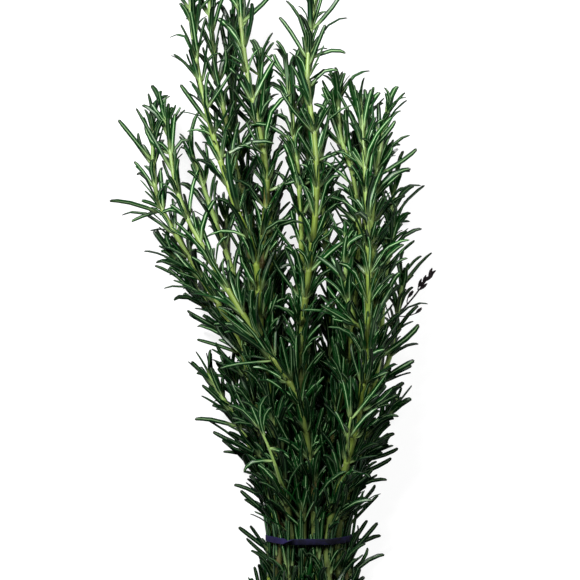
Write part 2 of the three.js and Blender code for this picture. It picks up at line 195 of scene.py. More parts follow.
class Graph:
    """The node tree of one material and its Principled shader."""

    def __init__(self, name: str) -> None:
        """Make a new material."""
        self.material = bpy.data.materials.new(name)
        self.material.use_nodes = True
        self.tree = self.material.node_tree

    def node(self, kind: str, settings: dict[str, Any] | None = None,
             inputs: dict[str | int, Any] | None = None) -> bpy.types.Node:
        """Add a node.

        Args:
            kind: Blender's type name of the node.
            settings: Properties that are set before the sockets.
            inputs: Values, Signals or sockets by input name or number.

        Returns:
            The new node.
        """
        made = self.tree.nodes.new(kind)
        for key, value in (settings or {}).items():
            setattr(made, key, value)
        for key, value in (inputs or {}).items():
            self.feed(made.inputs[key], value)
        return made

    def feed(self, socket: bpy.types.NodeSocket, value: Any) -> None:
        """Link a Signal or socket to an input, or set a constant on it."""
        value = value.socket if isinstance(value, Signal) else value
        if isinstance(value, bpy.types.NodeSocket):
            self.tree.links.new(value, socket)
        else:
            socket.default_value = (*value, 1.0) if socket.type == "RGBA" else value

    def attribute(self, name: str) -> tuple[Signal, Signal, Signal]:
        """Return the three channels of one of the piece's own attributes."""
        source = self.node("ShaderNodeAttribute", {"attribute_name": name})
        parts = self.node("ShaderNodeSeparateXYZ", inputs={0: source.outputs["Vector"]})
        return tuple(Signal(self, out) for out in parts.outputs)

    def place(self) -> bpy.types.NodeSocket:
        """Return the Object coordinates."""
        return self.node("ShaderNodeTexCoord").outputs["Object"]

    def noise(self, vector: Any, scale: float, detail: float = 2.0) -> Signal:
        """Return a noise pattern between 0 and 1."""
        inputs = {"Vector": vector, "Scale": scale, "Detail": detail}
        return Signal(self, self.node("ShaderNodeTexNoise", inputs=inputs).outputs["Fac"])

    def combine(self, x: Any, y: Any) -> bpy.types.NodeSocket:
        """Return a vector made of two numbers."""
        return self.node("ShaderNodeCombineXYZ", inputs={0: x, 1: y}).outputs[0]

    def mix(self, amount: Signal | float, first: Any, second: Any) -> bpy.types.NodeSocket:
        """Return a colour that goes from first to second as amount goes from 0 to 1."""
        factor, start, end, result = 0, 6, 7, 2
        inputs = {factor: amount, start: first, end: second}
        return self.node("ShaderNodeMix", {"data_type": "RGBA"}, inputs).outputs[result]

    def bump(self, height: Signal, distance: float, strength: float) -> bpy.types.NodeSocket:
        """Return a surface direction made from a height pattern."""
        inputs = {"Height": height, "Distance": distance, "Strength": strength}
        return self.node("ShaderNodeBump", inputs=inputs).outputs["Normal"]

    def dress(self, **sockets: Any) -> bpy.types.Material:
        """Set the shader's sockets, named with underscores for spaces."""
        shader = self.tree.nodes["Principled BSDF"]
        for key, value in sockets.items():
            self.feed(shader.inputs[key.replace("_", " ")], value)
        return self.material


@dataclass(frozen=True)
class LeafFinish:
    """Leathery needle: dark grooved upper face, felted underside with a green midrib."""

    deep: Colour = srgb(0, 17, 5)
    fresh: Colour = srgb(14, 58, 18)
    young: Colour = srgb(18, 58, 18)
    # Pale line along the groove: partly the midrib's own colour, partly painted highlight.
    groove_and_highlight: Colour = srgb(138, 168, 122)
    felt: Colour = srgb(13, 44, 23)
    pale_felt: Colour = srgb(92, 106, 86)
    rib: Colour = srgb(66, 100, 64)
    base: Colour = srgb(128, 150, 92)
    dry: Colour = srgb(9, 12, 8)
    mottle_scale: float = 700.0
    grain_scale: float = 2600.0

    def material(self) -> bpy.types.Material:
        """Build the material."""
        g = Graph("rosemary_leaf")
        tint_and_shade, youth, under = g.attribute(LEAF_LOOK)
        along, across, dryness = g.attribute(LEAF_SPOT)
        place = g.place()
        mottle = g.noise(place, self.mottle_scale)
        grain = g.noise(place, self.grain_scale, detail=1.0)
        from_rib = across.distance_from(0.0)
        # The leaf's tint carries painted shade from its place in the bunch as well as its own tone.
        blade = g.mix((tint_and_shade * 0.9 + mottle * 0.5 - 0.25).ramp(0.0, 1.0), self.deep, self.fresh)
        blade = g.mix(youth * 0.8, blade, self.young)
        # Pale groove line, partly painted highlight, fainter on the darker, shaded leaves.
        blade = g.mix(from_rib.ramp(0.24, 0.06) * (tint_and_shade * 1.1 + 0.12), blade, self.groove_and_highlight)
        felted = g.mix(youth.ramp(0.2, 0.8), self.felt, self.pale_felt)
        felted = g.mix(from_rib.ramp(0.10, 0.25), self.rib, felted)
        felted = g.mix(from_rib.ramp(0.55, 0.75), felted, blade)
        colour = g.mix(under.ramp(0.55, 0.70), blade, felted)
        colour = g.mix(along.ramp(0.30, 0.03) * (youth * 0.5 + 0.5), colour, self.base)
        rimmed = from_rib * 0.08 + along
        colour = g.mix(rimmed.ramp(0.93, 1.03) * dryness, colour, self.dry)
        return g.dress(Base_Color=colour, Roughness=under * 0.40 + mottle * 0.12 + 0.22,
                       Specular_IOR_Level=0.10,
                       Normal=g.bump(grain * 0.4 + mottle * 0.6, 0.00012, 0.35))


@dataclass(frozen=True)
class StemFinish:
    """Yellow-green four-angled stem that turns olive and brown towards its foot."""

    shoot: Colour = srgb(105, 131, 66)
    green: Colour = srgb(107, 128, 36)
    olive: Colour = srgb(66, 80, 34)
    bark: Colour = srgb(76, 58, 30)
    node: Colour = srgb(134, 150, 86)

    def material(self) -> bpy.types.Material:
        """Build the material."""
        g = Graph("rosemary_stem")
        age, near_node, barky = g.attribute(STEM_LOOK)
        along, turn, _ = g.attribute(STEM_SPOT)
        streak = g.noise(g.combine(along * 90.0, turn * 14.0), 1.0, detail=3.0)
        patch = g.noise(g.place(), 55.0)
        colour = g.mix(age.ramp(0.05, 0.45), self.shoot, self.green)
        olive = (age * 0.9 + streak * 0.5 + barky * 0.5 - 0.55).ramp(0.0, 0.5)
        colour = g.mix(olive, colour, self.olive)
        colour = g.mix((barky + patch + age * 0.4 - 1.08).ramp(0.0, 0.25), colour, self.bark)
        angles = turn.math("PINGPONG", turn * 4.0, 0.5)
        colour = g.mix(angles.ramp(0.30, 0.5) * 0.35, colour, self.olive)
        colour = g.mix(near_node.ramp(0.55, 1.0) * 0.22, colour, self.node)
        return g.dress(Base_Color=colour, Roughness=streak * 0.2 + 0.38,
                       Normal=g.bump(streak, 0.00025, 0.4))


@dataclass(frozen=True)
class CutWoodFinish:
    """Fresh cut end: a green rim, pale wood and a soft pith."""

    rim: Colour = srgb(104, 118, 52)
    wood: Colour = srgb(206, 204, 150)
    pith: Colour = srgb(168, 160, 108)

    def material(self) -> bpy.types.Material:
        """Build the material."""
        g = Graph("rosemary_cut_end")
        _, _, radius = g.attribute(STEM_SPOT)
        fibre = g.noise(g.place(), 1800.0)
        ring = radius + fibre * 0.1
        colour = g.mix(ring.ramp(0.30, 0.42), self.pith, self.wood)
        colour = g.mix(ring.ramp(0.78, 0.92), colour, self.rim)
        return g.dress(Base_Color=colour, Roughness=fibre * 0.2 + 0.6,
                       Normal=g.bump(fibre, 0.0002, 0.5))


@dataclass(frozen=True)
class RubberFinish:
    """Indigo elastic rubber: one face lighter and bluer, the other darker, with fine ribs along it."""

    rubber: Colour = srgb(5, 5, 14)
    lighter_face: Colour = srgb(24, 20, 52)
    # Lighter rubber for the random scuffs and for the painted highlight on both edges.
    wear_and_edge_sheen: Colour = srgb(26, 23, 60)
    ribs: float = 60.0

    def material(self) -> bpy.types.Material:
        """Build the material."""
        g = Graph("indigo_rubber")
        _, across, face = g.attribute(BAND_LOOK)
        place = g.place()
        scuff = g.noise(place, 220.0, detail=4.0)
        grain = g.noise(place, 2400.0, detail=1.0)
        ribbing = across.math("SINE", across * self.ribs)
        # One face of the strap lighter and bluer than the other.
        colour = g.mix((1 - face) * 0.8, self.rubber, self.lighter_face)
        colour = g.mix((scuff - 0.45).ramp(0.0, 0.25) * 0.4, colour, self.wear_and_edge_sheen)
        # Both edges of the strap lighter: painted highlight along the rounded edges.
        colour = g.mix(across.distance_from(0.0).ramp(0.40, 0.5) * 0.35, colour, self.wear_and_edge_sheen)
        return g.dress(Base_Color=colour, Roughness=scuff * 0.25 + 0.45, Specular_IOR_Level=0.07,
                       Normal=g.bump(grain * 0.5 + ribbing * 0.5, 0.0001, 0.4))


@dataclass(frozen=True)
class DryStalkFinish:
    """Dark dried flower stalk."""

    dark: Colour = srgb(8, 5, 7)
    light: Colour = srgb(30, 24, 24)

    def material(self) -> bpy.types.Material:
        """Build the material."""
        g = Graph("dried_stalk")
        grain = g.noise(g.place(), 900.0, detail=3.0)
        return g.dress(Base_Color=g.mix(grain.ramp(0.35, 0.75), self.dark, self.light),
                       Roughness=grain * 0.2 + 0.65, Specular_IOR_Level=0.1,
                       Normal=g.bump(grain, 0.0002, 0.6))


@dataclass(frozen=True)
class FloorFinish:
    """Plain white studio floor."""

    white: Colour = (0.20, 0.20, 0.20)
    light: Colour = (1.0, 1.0, 1.0)
    glow: float = 0.84

    def material(self) -> bpy.types.Material:
        """Build the material."""
        return Graph("studio_floor").dress(Base_Color=self.white, Roughness=0.9,
                                           Emission_Color=self.light, Emission_Strength=self.glow)


@dataclass
class CadLeaf:
    """One leaf of a CAD sprig: where it leaves the stem, its point and its leaf node."""

    base: Vec
    point: Vec
    station: int


@dataclass
class StemLine:
    """The line of one stem, from its foot to its tip, with its leaves."""

    points: list[Vec] = field(default_factory=list)
    half_widths: list[float] = field(default_factory=list)
    leaves: list[CadLeaf] = field(default_factory=list)
    is_shoot: bool = False


@dataclass
class Spot:
    """A place on a stem: its centre, the directions along and across it, and half width."""

    centre: Vec
    along: Vec
    across: Vec
    third: Vec
    half: float


class Spine:
    """A smooth curve through the points of a stem line, by distance along it."""

    REFERENCE = np.array([0.8, 0.0, 0.6])

    def __init__(self, line: StemLine) -> None:
        """Prepare the curve."""
        self.points = np.array(line.points)
        self.at = distances(self.points)
        self.length = float(self.at[-1])
        self.slopes = np.gradient(self.points, self.at, axis=0)
        self.half_widths = np.array(line.half_widths)

    def centre(self, s: Vec) -> Vec:
        """Return the points at distances s, by cubic Hermite pieces."""
        k = np.clip(np.searchsorted(self.at, s, side="right") - 1, 0, len(self.at) - 2)
        span = (self.at[k + 1] - self.at[k])[..., None]
        t = (s - self.at[k])[..., None] / span
        out, into = self.slopes[k] * span, self.slopes[k + 1] * span
        bend = (2 * t**3 - 3 * t**2 + 1) * self.points[k] + (t**3 - 2 * t**2 + t) * out
        return bend + (3 * t**2 - 2 * t**3) * self.points[k + 1] + (t**3 - t**2) * into

    def frame(self, s: Vec) -> tuple[Vec, Vec, Vec]:
        """Return the directions along the stem, across it and the third one, at s."""
        along = unit(sampled(s, self.at, self.slopes))
        across = square_to(self.REFERENCE, along)
        return along, across, np.cross(along, across)

    def half_width(self, s: Vec) -> Vec:
        """Return the stem's half width at distances s."""
        return np.interp(s, self.at, self.half_widths)

    def spot(self, s: float) -> Spot:
        """Return the place at one distance."""
        here = np.array([s])
        directions = (rows[0] for rows in self.frame(here))
        return Spot(self.centre(here)[0], *directions, float(self.half_width(here)[0]))


class SprigReader:
    """Finds the stem lines and leaves in a CAD sprig's mesh.

    A sprig's mesh has short edges only across its stem and along its leaf nodes. Points
    joined by short edges are one ring or leaf node of a stem, called a station, and a point
    with none is the tip of a leaf or of a stem.
    """

    SHORT_EDGE = 0.0036
    TIP_ASIDE = 0.35
    TIP_WIDTH = 0.6
    LONE = -1

    def __init__(self, node: bpy.types.Object) -> None:
        """Merge the node's points and give each the label of its station."""
        corners = np.round(places(node.data).astype(np.float32), 6)
        points, merged = np.unique(corners, axis=0, return_inverse=True)
        self.points = points.astype(float)
        pairs = merged.ravel()[np.array([edge.vertices[:] for edge in node.data.edges])]
        self.pairs = np.unique(np.vstack([pairs, pairs[:, ::-1]]), axis=0)
        lengths = np.linalg.norm(self.points[self.pairs[:, 0]] - self.points[self.pairs[:, 1]], axis=1)
        short = self.pairs[(lengths > 0) & (lengths < self.SHORT_EDGE)]
        self.station = np.full(len(points), self.LONE)
        self.station[short[:, 0]] = short[:, 0]
        settled = False
        while not settled:
            before = self.station.copy()
            np.minimum.at(self.station, short[:, 0], before[short[:, 1]])
            settled = np.array_equal(before, self.station)
        labels = set(self.station.tolist()) - {self.LONE}
        self.centres = {k: self.points[self.station == k].mean(axis=0) for k in labels}

    def _linked(self, station: int) -> Vec:
        """Return the points that share an edge with a station's points."""
        return np.unique(self.pairs[self.station[self.pairs[:, 0]] == station, 1])

    def lines(self) -> list[StemLine]:
        """Return the main stem and then its side shoots."""
        foot = min(self.centres, key=lambda k: self.centres[k][1])
        waiting = [(foot, None)]
        visited = {foot, self.LONE}
        found: list[StemLine] = []
        while waiting:
            start, parent = waiting.pop(0)
            route = [start]
            before = self.centres[start] - [0, 1, 0] if parent is None else self.centres[parent]
            while ahead := list(set(self.station[self._linked(route[-1])].tolist()) - visited):
                here = self.centres[route[-1]]
                heading = unit(here - before)
                ahead.sort(key=lambda k: -float(unit(self.centres[k] - here) @ heading))
                waiting.extend((side, route[-1]) for side in ahead[1:])
                visited.update(ahead)
                before = here
                route.append(ahead[0])
            found.append(self._line(route, parent))
        return found

    def _line(self, route: list[int], parent: int | None) -> StemLine:
        """Measure the stations of one stem and gather its leaves and its tip."""
        first = [] if parent is None else [self.centres[parent]]
        centres = [self.centres[station] for station in route]
        line = StemLine(points=first + centres, is_shoot=parent is not None)
        tangents = unit(np.gradient(np.array(centres), axis=0))
        widths = []
        for k, (station, centre, tangent) in enumerate(zip(route, centres, tangents)):
            out = self.points[self.station == station] - centre
            out -= np.outer(out @ tangent, tangent)
            widths.append(float(np.median(np.linalg.norm(out, axis=1))) / math.sqrt(2))
            linked = self._linked(station)
            for tip in linked[self.station[linked] == self.LONE]:
                roots = self.pairs[self.pairs[:, 0] == tip, 1]
                base = self.points[roots[self.station[roots] == station]].mean(axis=0)
                aside = base - centre
                aside -= (aside @ tangent) * tangent
                if np.linalg.norm(aside) < self.TIP_ASIDE * widths[-1]:
                    line.points.append(self.points[tip])
                else:
                    line.leaves.append(CadLeaf(base, self.points[tip], k + len(first)))
        line.half_widths = [widths[0]] * len(first) + widths + [widths[-1] * self.TIP_WIDTH]
        return line


def select_where(obj: bpy.types.Object, kind: str, wanted: Callable[[Any], bool]) -> None:
    """Select exactly the verts, edges or faces of an object in edit mode that pass a test."""
    edit = bmesh.from_edit_mesh(obj.data)
    for part in getattr(edit, kind):
        part.select = wanted(part)
    edit.select_flush_mode()
    bmesh.update_edit_mesh(obj.data)


def deselect_all() -> None:
    """Deselect every object, so that an operator acts on the new one alone."""
    bpy.ops.object.select_all(action="DESELECT")


def scale_section(y: float, z: float) -> None:
    """Scale the selected points towards the x axis."""
    bpy.ops.transform.resize(value=(1, y, z), center_override=(0, 0, 0))


def begin_section(fill: str) -> bpy.types.Object:
    """Add a circle of points round the x axis and go into edit mode."""
    deselect_all()
    bpy.ops.mesh.primitive_circle_add(vertices=SIDES, radius=1.0, fill_type=fill,
                                      rotation=(math.pi / 2, 0, math.pi / 2))
    bpy.ops.object.transform_apply(location=True, rotation=True, scale=True)
    bpy.ops.object.mode_set(mode="EDIT")
    return bpy.context.object


def draw_out(profile: Profile) -> None:
    """Scale the section to a profile's first radius and extrude it through the others."""
    bpy.ops.mesh.select_all(action="SELECT")
    scale_section(profile[0][1], profile[0][1])
    for (x, radius), (next_x, next_radius) in zip(profile, profile[1:]):
        bpy.ops.mesh.extrude_region_move(TRANSFORM_OT_translate={"value": (next_x - x, 0, 0)})
        growth = next_radius / radius
        bpy.ops.transform.resize(value=(1, growth, growth))


def finish_edit() -> None:
    """Turn all faces outwards and leave edit mode."""
    bpy.ops.mesh.select_all(action="SELECT")
    bpy.ops.mesh.normals_make_consistent(inside=False)
    bpy.ops.object.mode_set(mode="OBJECT")


@dataclass
class MeshCopy:
    """Points and faces of a finished master mesh."""

    points: Vec
    faces: list[list[int]]

    @staticmethod
    def taken_from(obj: bpy.types.Object) -> MeshCopy:
        """Read a master and remove its object from the scene."""
        mesh = obj.data
        copy = MeshCopy(places(mesh), [list(face.vertices) for face in mesh.polygons])
        bpy.data.objects.remove(obj)
        bpy.data.meshes.remove(mesh)
        return copy

    def faces_from(self, start: int) -> list[list[int]]:
        """Return the faces of a copy whose points begin at a number."""
        return [[start + i for i in face] for face in self.faces]


@dataclass
class LeafBlade:
    """Master leaf blade: x from 0 at its base to 1 at its tip, y and z in half widths."""

    outline: Profile = ((0.0, 0.42), (0.10, 0.78), (0.32, 1.0), (0.62, 1.0), (0.86, 0.94),
                        (0.972, 0.70), (1.0, 0.70))
    section: Profile = ((1.0, -0.10), (0.52, 0.26), (0.0, 0.02), (-0.52, 0.26),
                        (-1.0, -0.10), (-0.62, -0.34), (0.0, -0.26), (0.62, -0.34))

    def model(self) -> MeshCopy:
        """Shape the section from a circle, draw it out along the outline and close it."""
        blade = begin_section("NGON")
        for k, (y, z) in enumerate(self.section):
            angle = 2 * math.pi * k / SIDES
            at = (math.cos(angle), math.sin(angle))
            select_where(blade, "verts", lambda vertex: math.dist(vertex.co.yz, at) < 0.05)
            bpy.ops.transform.translate(value=(0, y - at[0], z - at[1]))
        draw_out(self.outline)
        bpy.ops.mesh.merge(type="CENTER")
        finish_edit()
        return MeshCopy.taken_from(blade)


@dataclass
class StemJoint:
    """Master of one length of stem between two leaf nodes: x from 0 to 1, radius about 1.

    The section is a square with rounded corners, and both ends swell at the nodes.
    """

    corner: float = 1.20
    flat: float = 1.02
    profile: Profile = ((0.0, 1.10), (0.05, 1.07), (0.13, 1.0), (0.5, 0.96), (0.87, 1.0),
                        (0.95, 1.06), (1.0, 1.10))

    def model(self) -> MeshCopy:
        """Square a circle's section off and draw it out along the profile."""
        joint = begin_section("NOTHING")
        for is_corner, reach in ((True, self.corner), (False, self.flat)):
            select_where(joint, "verts", lambda v: (abs(v.co.y * v.co.z) > 0.25) == is_corner)
            scale_section(reach, reach)
        draw_out(self.profile)
        finish_edit()
        return MeshCopy.taken_from(joint)


def new_piece(name: str, points: Vec, faces: Iterable[list[int]]) -> bpy.types.Object:
    """Make a smooth mesh object at the origin and link it to the scene."""
    mesh = bpy.data.meshes.new(name)
    mesh.from_pydata(points.tolist(), [], list(faces))
    mesh.polygons.foreach_set("use_smooth", np.full(len(mesh.polygons), True))
    mesh.update()
    piece = bpy.data.objects.new(name, mesh)
    bpy.context.scene.collection.objects.link(piece)
    return piece


def store(piece: bpy.types.Object, name: str, *columns: Vec) -> None:
    """Store three numbers for each point of a piece as an attribute."""
    rows = np.stack(np.broadcast_arrays(*columns), axis=-1)
    attribute = piece.data.attributes.new(name, "FLOAT_VECTOR", "POINT")
    attribute.data.foreach_set("vector", rows.astype(np.float32).ravel())


def put_in_place(piece: bpy.types.Object, slot: Slot, node: str,
                 *finishes: bpy.types.Material) -> None:
    """Dress a piece, ride it on the part and put it in place of a node."""
    for finish in finishes:
        piece.data.materials.append(finish)
    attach(piece, BODY)
    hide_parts(node)
    LOG.info("%s: %d faces", piece.name, len(piece.data.polygons))


@dataclass
class Leaf:
    """One leaf to be made.

    The upper face looks along `face` as far as the line from base to tip allows. Bow is the
    rise of the blade's middle along `rise`, as a share of its length, hook moves the bend
    towards the tip, and sway is a bend to one side. Twist is in radians, base to tip.
    """

    base: Vec
    tip: Vec
    face: Vec
    rise: Vec
    width: float
    bow: float
    hook: float
    sway: float
    roll: float
    twist: float
    tint_and_shade: float
    youth: float
    dryness: float


@dataclass
class Foliage:
    """All the leaves of one sprig, as copies of the master blade."""

    blade: MeshCopy
    leaves: list[Leaf] = field(default_factory=list)
    under_below: float = -0.2
    rim_from: float = 0.9

    def column(self, name: str) -> Vec:
        """Return one field of every leaf, in a shape that goes with the blade's points."""
        values = np.array([getattr(leaf, name) for leaf in self.leaves])
        return values.reshape(len(self.leaves), 1, -1)

    def build(self, name: str) -> bpy.types.Object:
        """Bend a copy of the blade along each leaf and join them in one piece."""
        base = self.column("base")
        chord = self.column("tip") - base
        length = np.linalg.norm(chord, axis=-1, keepdims=True)
        along = unit(chord)
        up = square_to(self.column("face"), along)
        side = np.cross(up, along)
        lift = square_to(self.column("rise"), along)
        x, y, z = (self.blade.points[None, :, i, None] for i in range(3))
        angle = self.column("roll") + self.column("twist") * x
        arch = 4 * x * (1 - x) * (1 + self.column("hook") * (2 * x - 1)) * length
        middle = base + x * length * along + arch * self.column("bow") * lift
        middle = middle + arch * self.column("sway") * np.cross(lift, along)
        half = self.column("width") / 2
        points = middle + y * half * turned(side, up, angle) + z * half * turned(up, -side, angle)
        points[..., 2] = np.maximum(points[..., 2], 0.0)
        starts = range(0, points[..., 0].size, x.size)
        faces = [face for start in starts for face in self.blade.faces_from(start)]
        piece = new_piece(name, points.reshape(-1, 3), faces)
        x, y, z = self.blade.points.T[..., None]
        widest = np.array([np.abs(y[np.isclose(x, v, atol=1e-4)]).max() for v in x])[:, None]
        across = y / np.maximum(widest, 1e-6)
        rim = np.where(np.abs(across) > self.rim_from, 0.5, 0.0)
        under = np.where(z < self.under_below * widest, 1.0, rim)
        store(piece, LEAF_LOOK, self.column("tint_and_shade"), self.column("youth"), under)
        store(piece, LEAF_SPOT, x, across, self.column("dryness"))
        return piece


@dataclass
class Growth:
    """How one kind of leaf grows, as ranges that single leaves are drawn from.

    Lengths are in metres, tilt is in radians from the stem, and lean is the spread of the
    direction to either side. A main leaf's length is a factor on its CAD leaf's length, and
    its width is a factor on the usual width.
    """

    width: tuple[float, float]
    length: tuple[float, float] = (0.0, 0.0)
    tilt: tuple[float, float] = (0.0, 0.0)
    lean: float = 0.2
    bow: tuple[float, float] = (0.05, 0.05)
    hook: tuple[float, float] = (-0.2, 1.2)
    sway: float = 0.04
    roll: float = 0.4
    twist: float = 0.45
    youth: tuple[float, float] = (0.0, 0.3)
    dry: float = 0.6


MAIN = Growth(length=(0.90, 1.30), width=(0.74, 1.16), bow=(0.10, 0.08), hook=(-0.2, 1.1),
              sway=0.045, twist=0.4, youth=(0.35, 0.9), dry=0.8)
TUCKED = Growth(width=(0.0016, 0.0024), sway=0.02, roll=0.3, twist=0.3, youth=(0, 0.4), dry=0.5)
TUFT = Growth(length=(0.010, 0.021), tilt=(0.08, 0.55), width=(0.0016, 0.0022), lean=0.4,
              youth=(0.15, 0.6), dry=0.4)
COVER_CLOSE = Growth(length=(0.020, 0.034), tilt=(0.05, 0.32), width=(0.0020, 0.0030), lean=0.3,
                     bow=(0.04, 0.05), hook=(-0.3, 0.8))
COVER_OPEN = Growth(length=(0.018, 0.028), tilt=(0.25, 0.70), width=(0.0020, 0.0030), lean=0.35,
                    hook=(-0.3, 0.8))
COLLAR = Growth(length=(0.016, 0.028), tilt=(0.12, 0.95), width=(0.0018, 0.0025), lean=0.5)
TIP = Growth(length=(0.010, 0.017), tilt=(0.10, 0.75), width=(0.0016, 0.0021), bow=(0.05, 0.04),
             hook=(-0.2, 0.6), roll=0.3, twist=0.3, youth=(0.2, 0.8))


@dataclass
class Stray:
    """A long leaf that stands out from the others on the main stem of a sprig.

    The heading is in degrees in the plane of the floor, clockwise from the tip end of the
    bunch, and arch is the bow of the blade towards the stem's tip.
    """

    from_tip: float
    heading: float
    length: float
    arch: float = 0.0
    climb: float = 0.1


STRAYS = {
    "sprig_01": (Stray(0.024, 5, 0.023, 0.02), Stray(0.214, -24, 0.027, 0.05, 0.25)),
    "sprig_02": (Stray(0.046, 82, 0.020, 0.12), Stray(0.050, 22, 0.024), Stray(0.046, -34, 0.027, 0.03),
        Stray(0.030, 38, 0.026, -0.04), Stray(0.062, 62, 0.018, 0.20)),
    "sprig_03": (Stray(0.030, 40, 0.025, -0.03), Stray(0.226, 44, 0.026, 0.32, 0.35),
        Stray(0.214, 26, 0.029, 0.05, 0.2), Stray(0.206, -30, 0.028, 0.08, 0.2),
        Stray(0.232, 66, 0.024, 0.10, 0.3)),
    "sprig_04": (Stray(0.072, -36, 0.026), Stray(0.092, 76, 0.030, 0.12),
        Stray(0.252, -66, 0.026, 0.14, 0.2), Stray(0.249, -42, 0.028, 0.10, 0.3),
        Stray(0.246, -16, 0.030, 0.10, 0.25), Stray(0.240, 18, 0.024, -0.28, 0.3),
        Stray(0.274, -34, 0.027, 0.05, 0.2)),
    "sprig_05": (Stray(0.026, 45, 0.024, -0.03), Stray(0.120, 80, 0.030, 0.10)),
    "sprig_06": (Stray(0.025, -39, 0.029), Stray(0.040, -37, 0.018, 0.03), Stray(0.055, -77, 0.030, 0.05),
        Stray(0.112, -62, 0.026, 0.04)),
    "sprig_07": (Stray(0.040, 55, 0.026, -0.03),),
    "sprig_08": (Stray(0.055, -62, 0.028, 0.12),),
    "sprig_09": (Stray(0.045, -70, 0.026, 0.15), Stray(0.070, 66, 0.027, 0.12)),
    "sprig_12": (Stray(0.078, -66, 0.020, 0.05), Stray(0.088, -48, 0.022), Stray(0.108, -52, 0.023),
        Stray(0.034, -80, 0.024, 0.05), Stray(0.050, -62, 0.024)),
    "sprig_14": (Stray(0.176, 66, 0.024, 0.05), Stray(0.190, 40, 0.027), Stray(0.200, 58, 0.024, 0.08)),
    "sprig_17": (Stray(0.062, -52, 0.018, 0.04), Stray(0.066, -66, 0.021, 0.06)),
    "sprig_18": (Stray(0.104, -58, 0.022, 0.05), Stray(0.055, -76, 0.025, 0.05)),
    "sprig_19": (Stray(0.118, 64, 0.024, -0.03), Stray(0.126, 74, 0.022, 0.08), Stray(0.152, 50, 0.024),
        Stray(0.164, 62, 0.026, 0.06)),
    "sprig_27": (Stray(0.032, 58, 0.017, 0.05), Stray(0.040, 70, 0.022, -0.04),
        Stray(0.048, 52, 0.020, 0.05)),
}


@dataclass
class SideShoot:
    """A long side shoot that lies on top of the bunch, with the leaves that it carries.

    It has one heading and one climb for each step, and both are measured as a stray's are.
    """

    from_tip: float
    step: float
    headings: tuple[float, ...]
    climbs: tuple[float, ...]
    light: float
    leaves: tuple[Stray, ...]
    foot_half_width: float = 0.0009
    tip_half_width: float = 0.0005

    def line(self, spine: Spine) -> StemLine:
        """Return the shoot's stem line, from the middle of the stem that it grows on."""
        points = [spine.spot(spine.length - self.from_tip).centre]
        for heading, climb in zip(self.headings, self.climbs):
            points.append(points[-1] + aimed(heading, climb) * self.step)
        widths = np.linspace(self.foot_half_width, self.tip_half_width, len(points))
        return StemLine(points, list(widths), is_shoot=True)


SIDE_SHOOTS = {
    "sprig_04": SideShoot(0.280, 0.0115, (-25, -17, -20, -25), (1.5, 0.6, 0.15, 0.0), 0.55, (
        Stray(0.001, -53, 0.021, 0.12), Stray(0.001, 14, 0.019, 0.15),
        Stray(0.004, 19, 0.015, 0.14), Stray(0.002, -22, 0.014), Stray(0.006, -12, 0.011, 0.05),
        Stray(0.013, 118, 0.012, 0.10, 0.0), Stray(0.020, -112, 0.017, 0.20, 0.0))),
    "sprig_03": SideShoot(0.197, 0.0095, (-10, 3, 9), (1.4, 0.7, 0.3), 0.7, (
        Stray(0.001, -11, 0.022, 0.02), Stray(0.000, 0, 0.023), Stray(0.001, 37, 0.032, -0.02),
        Stray(0.012, 44, 0.023, 0.08), Stray(0.012, -24, 0.016, 0.04))),
}


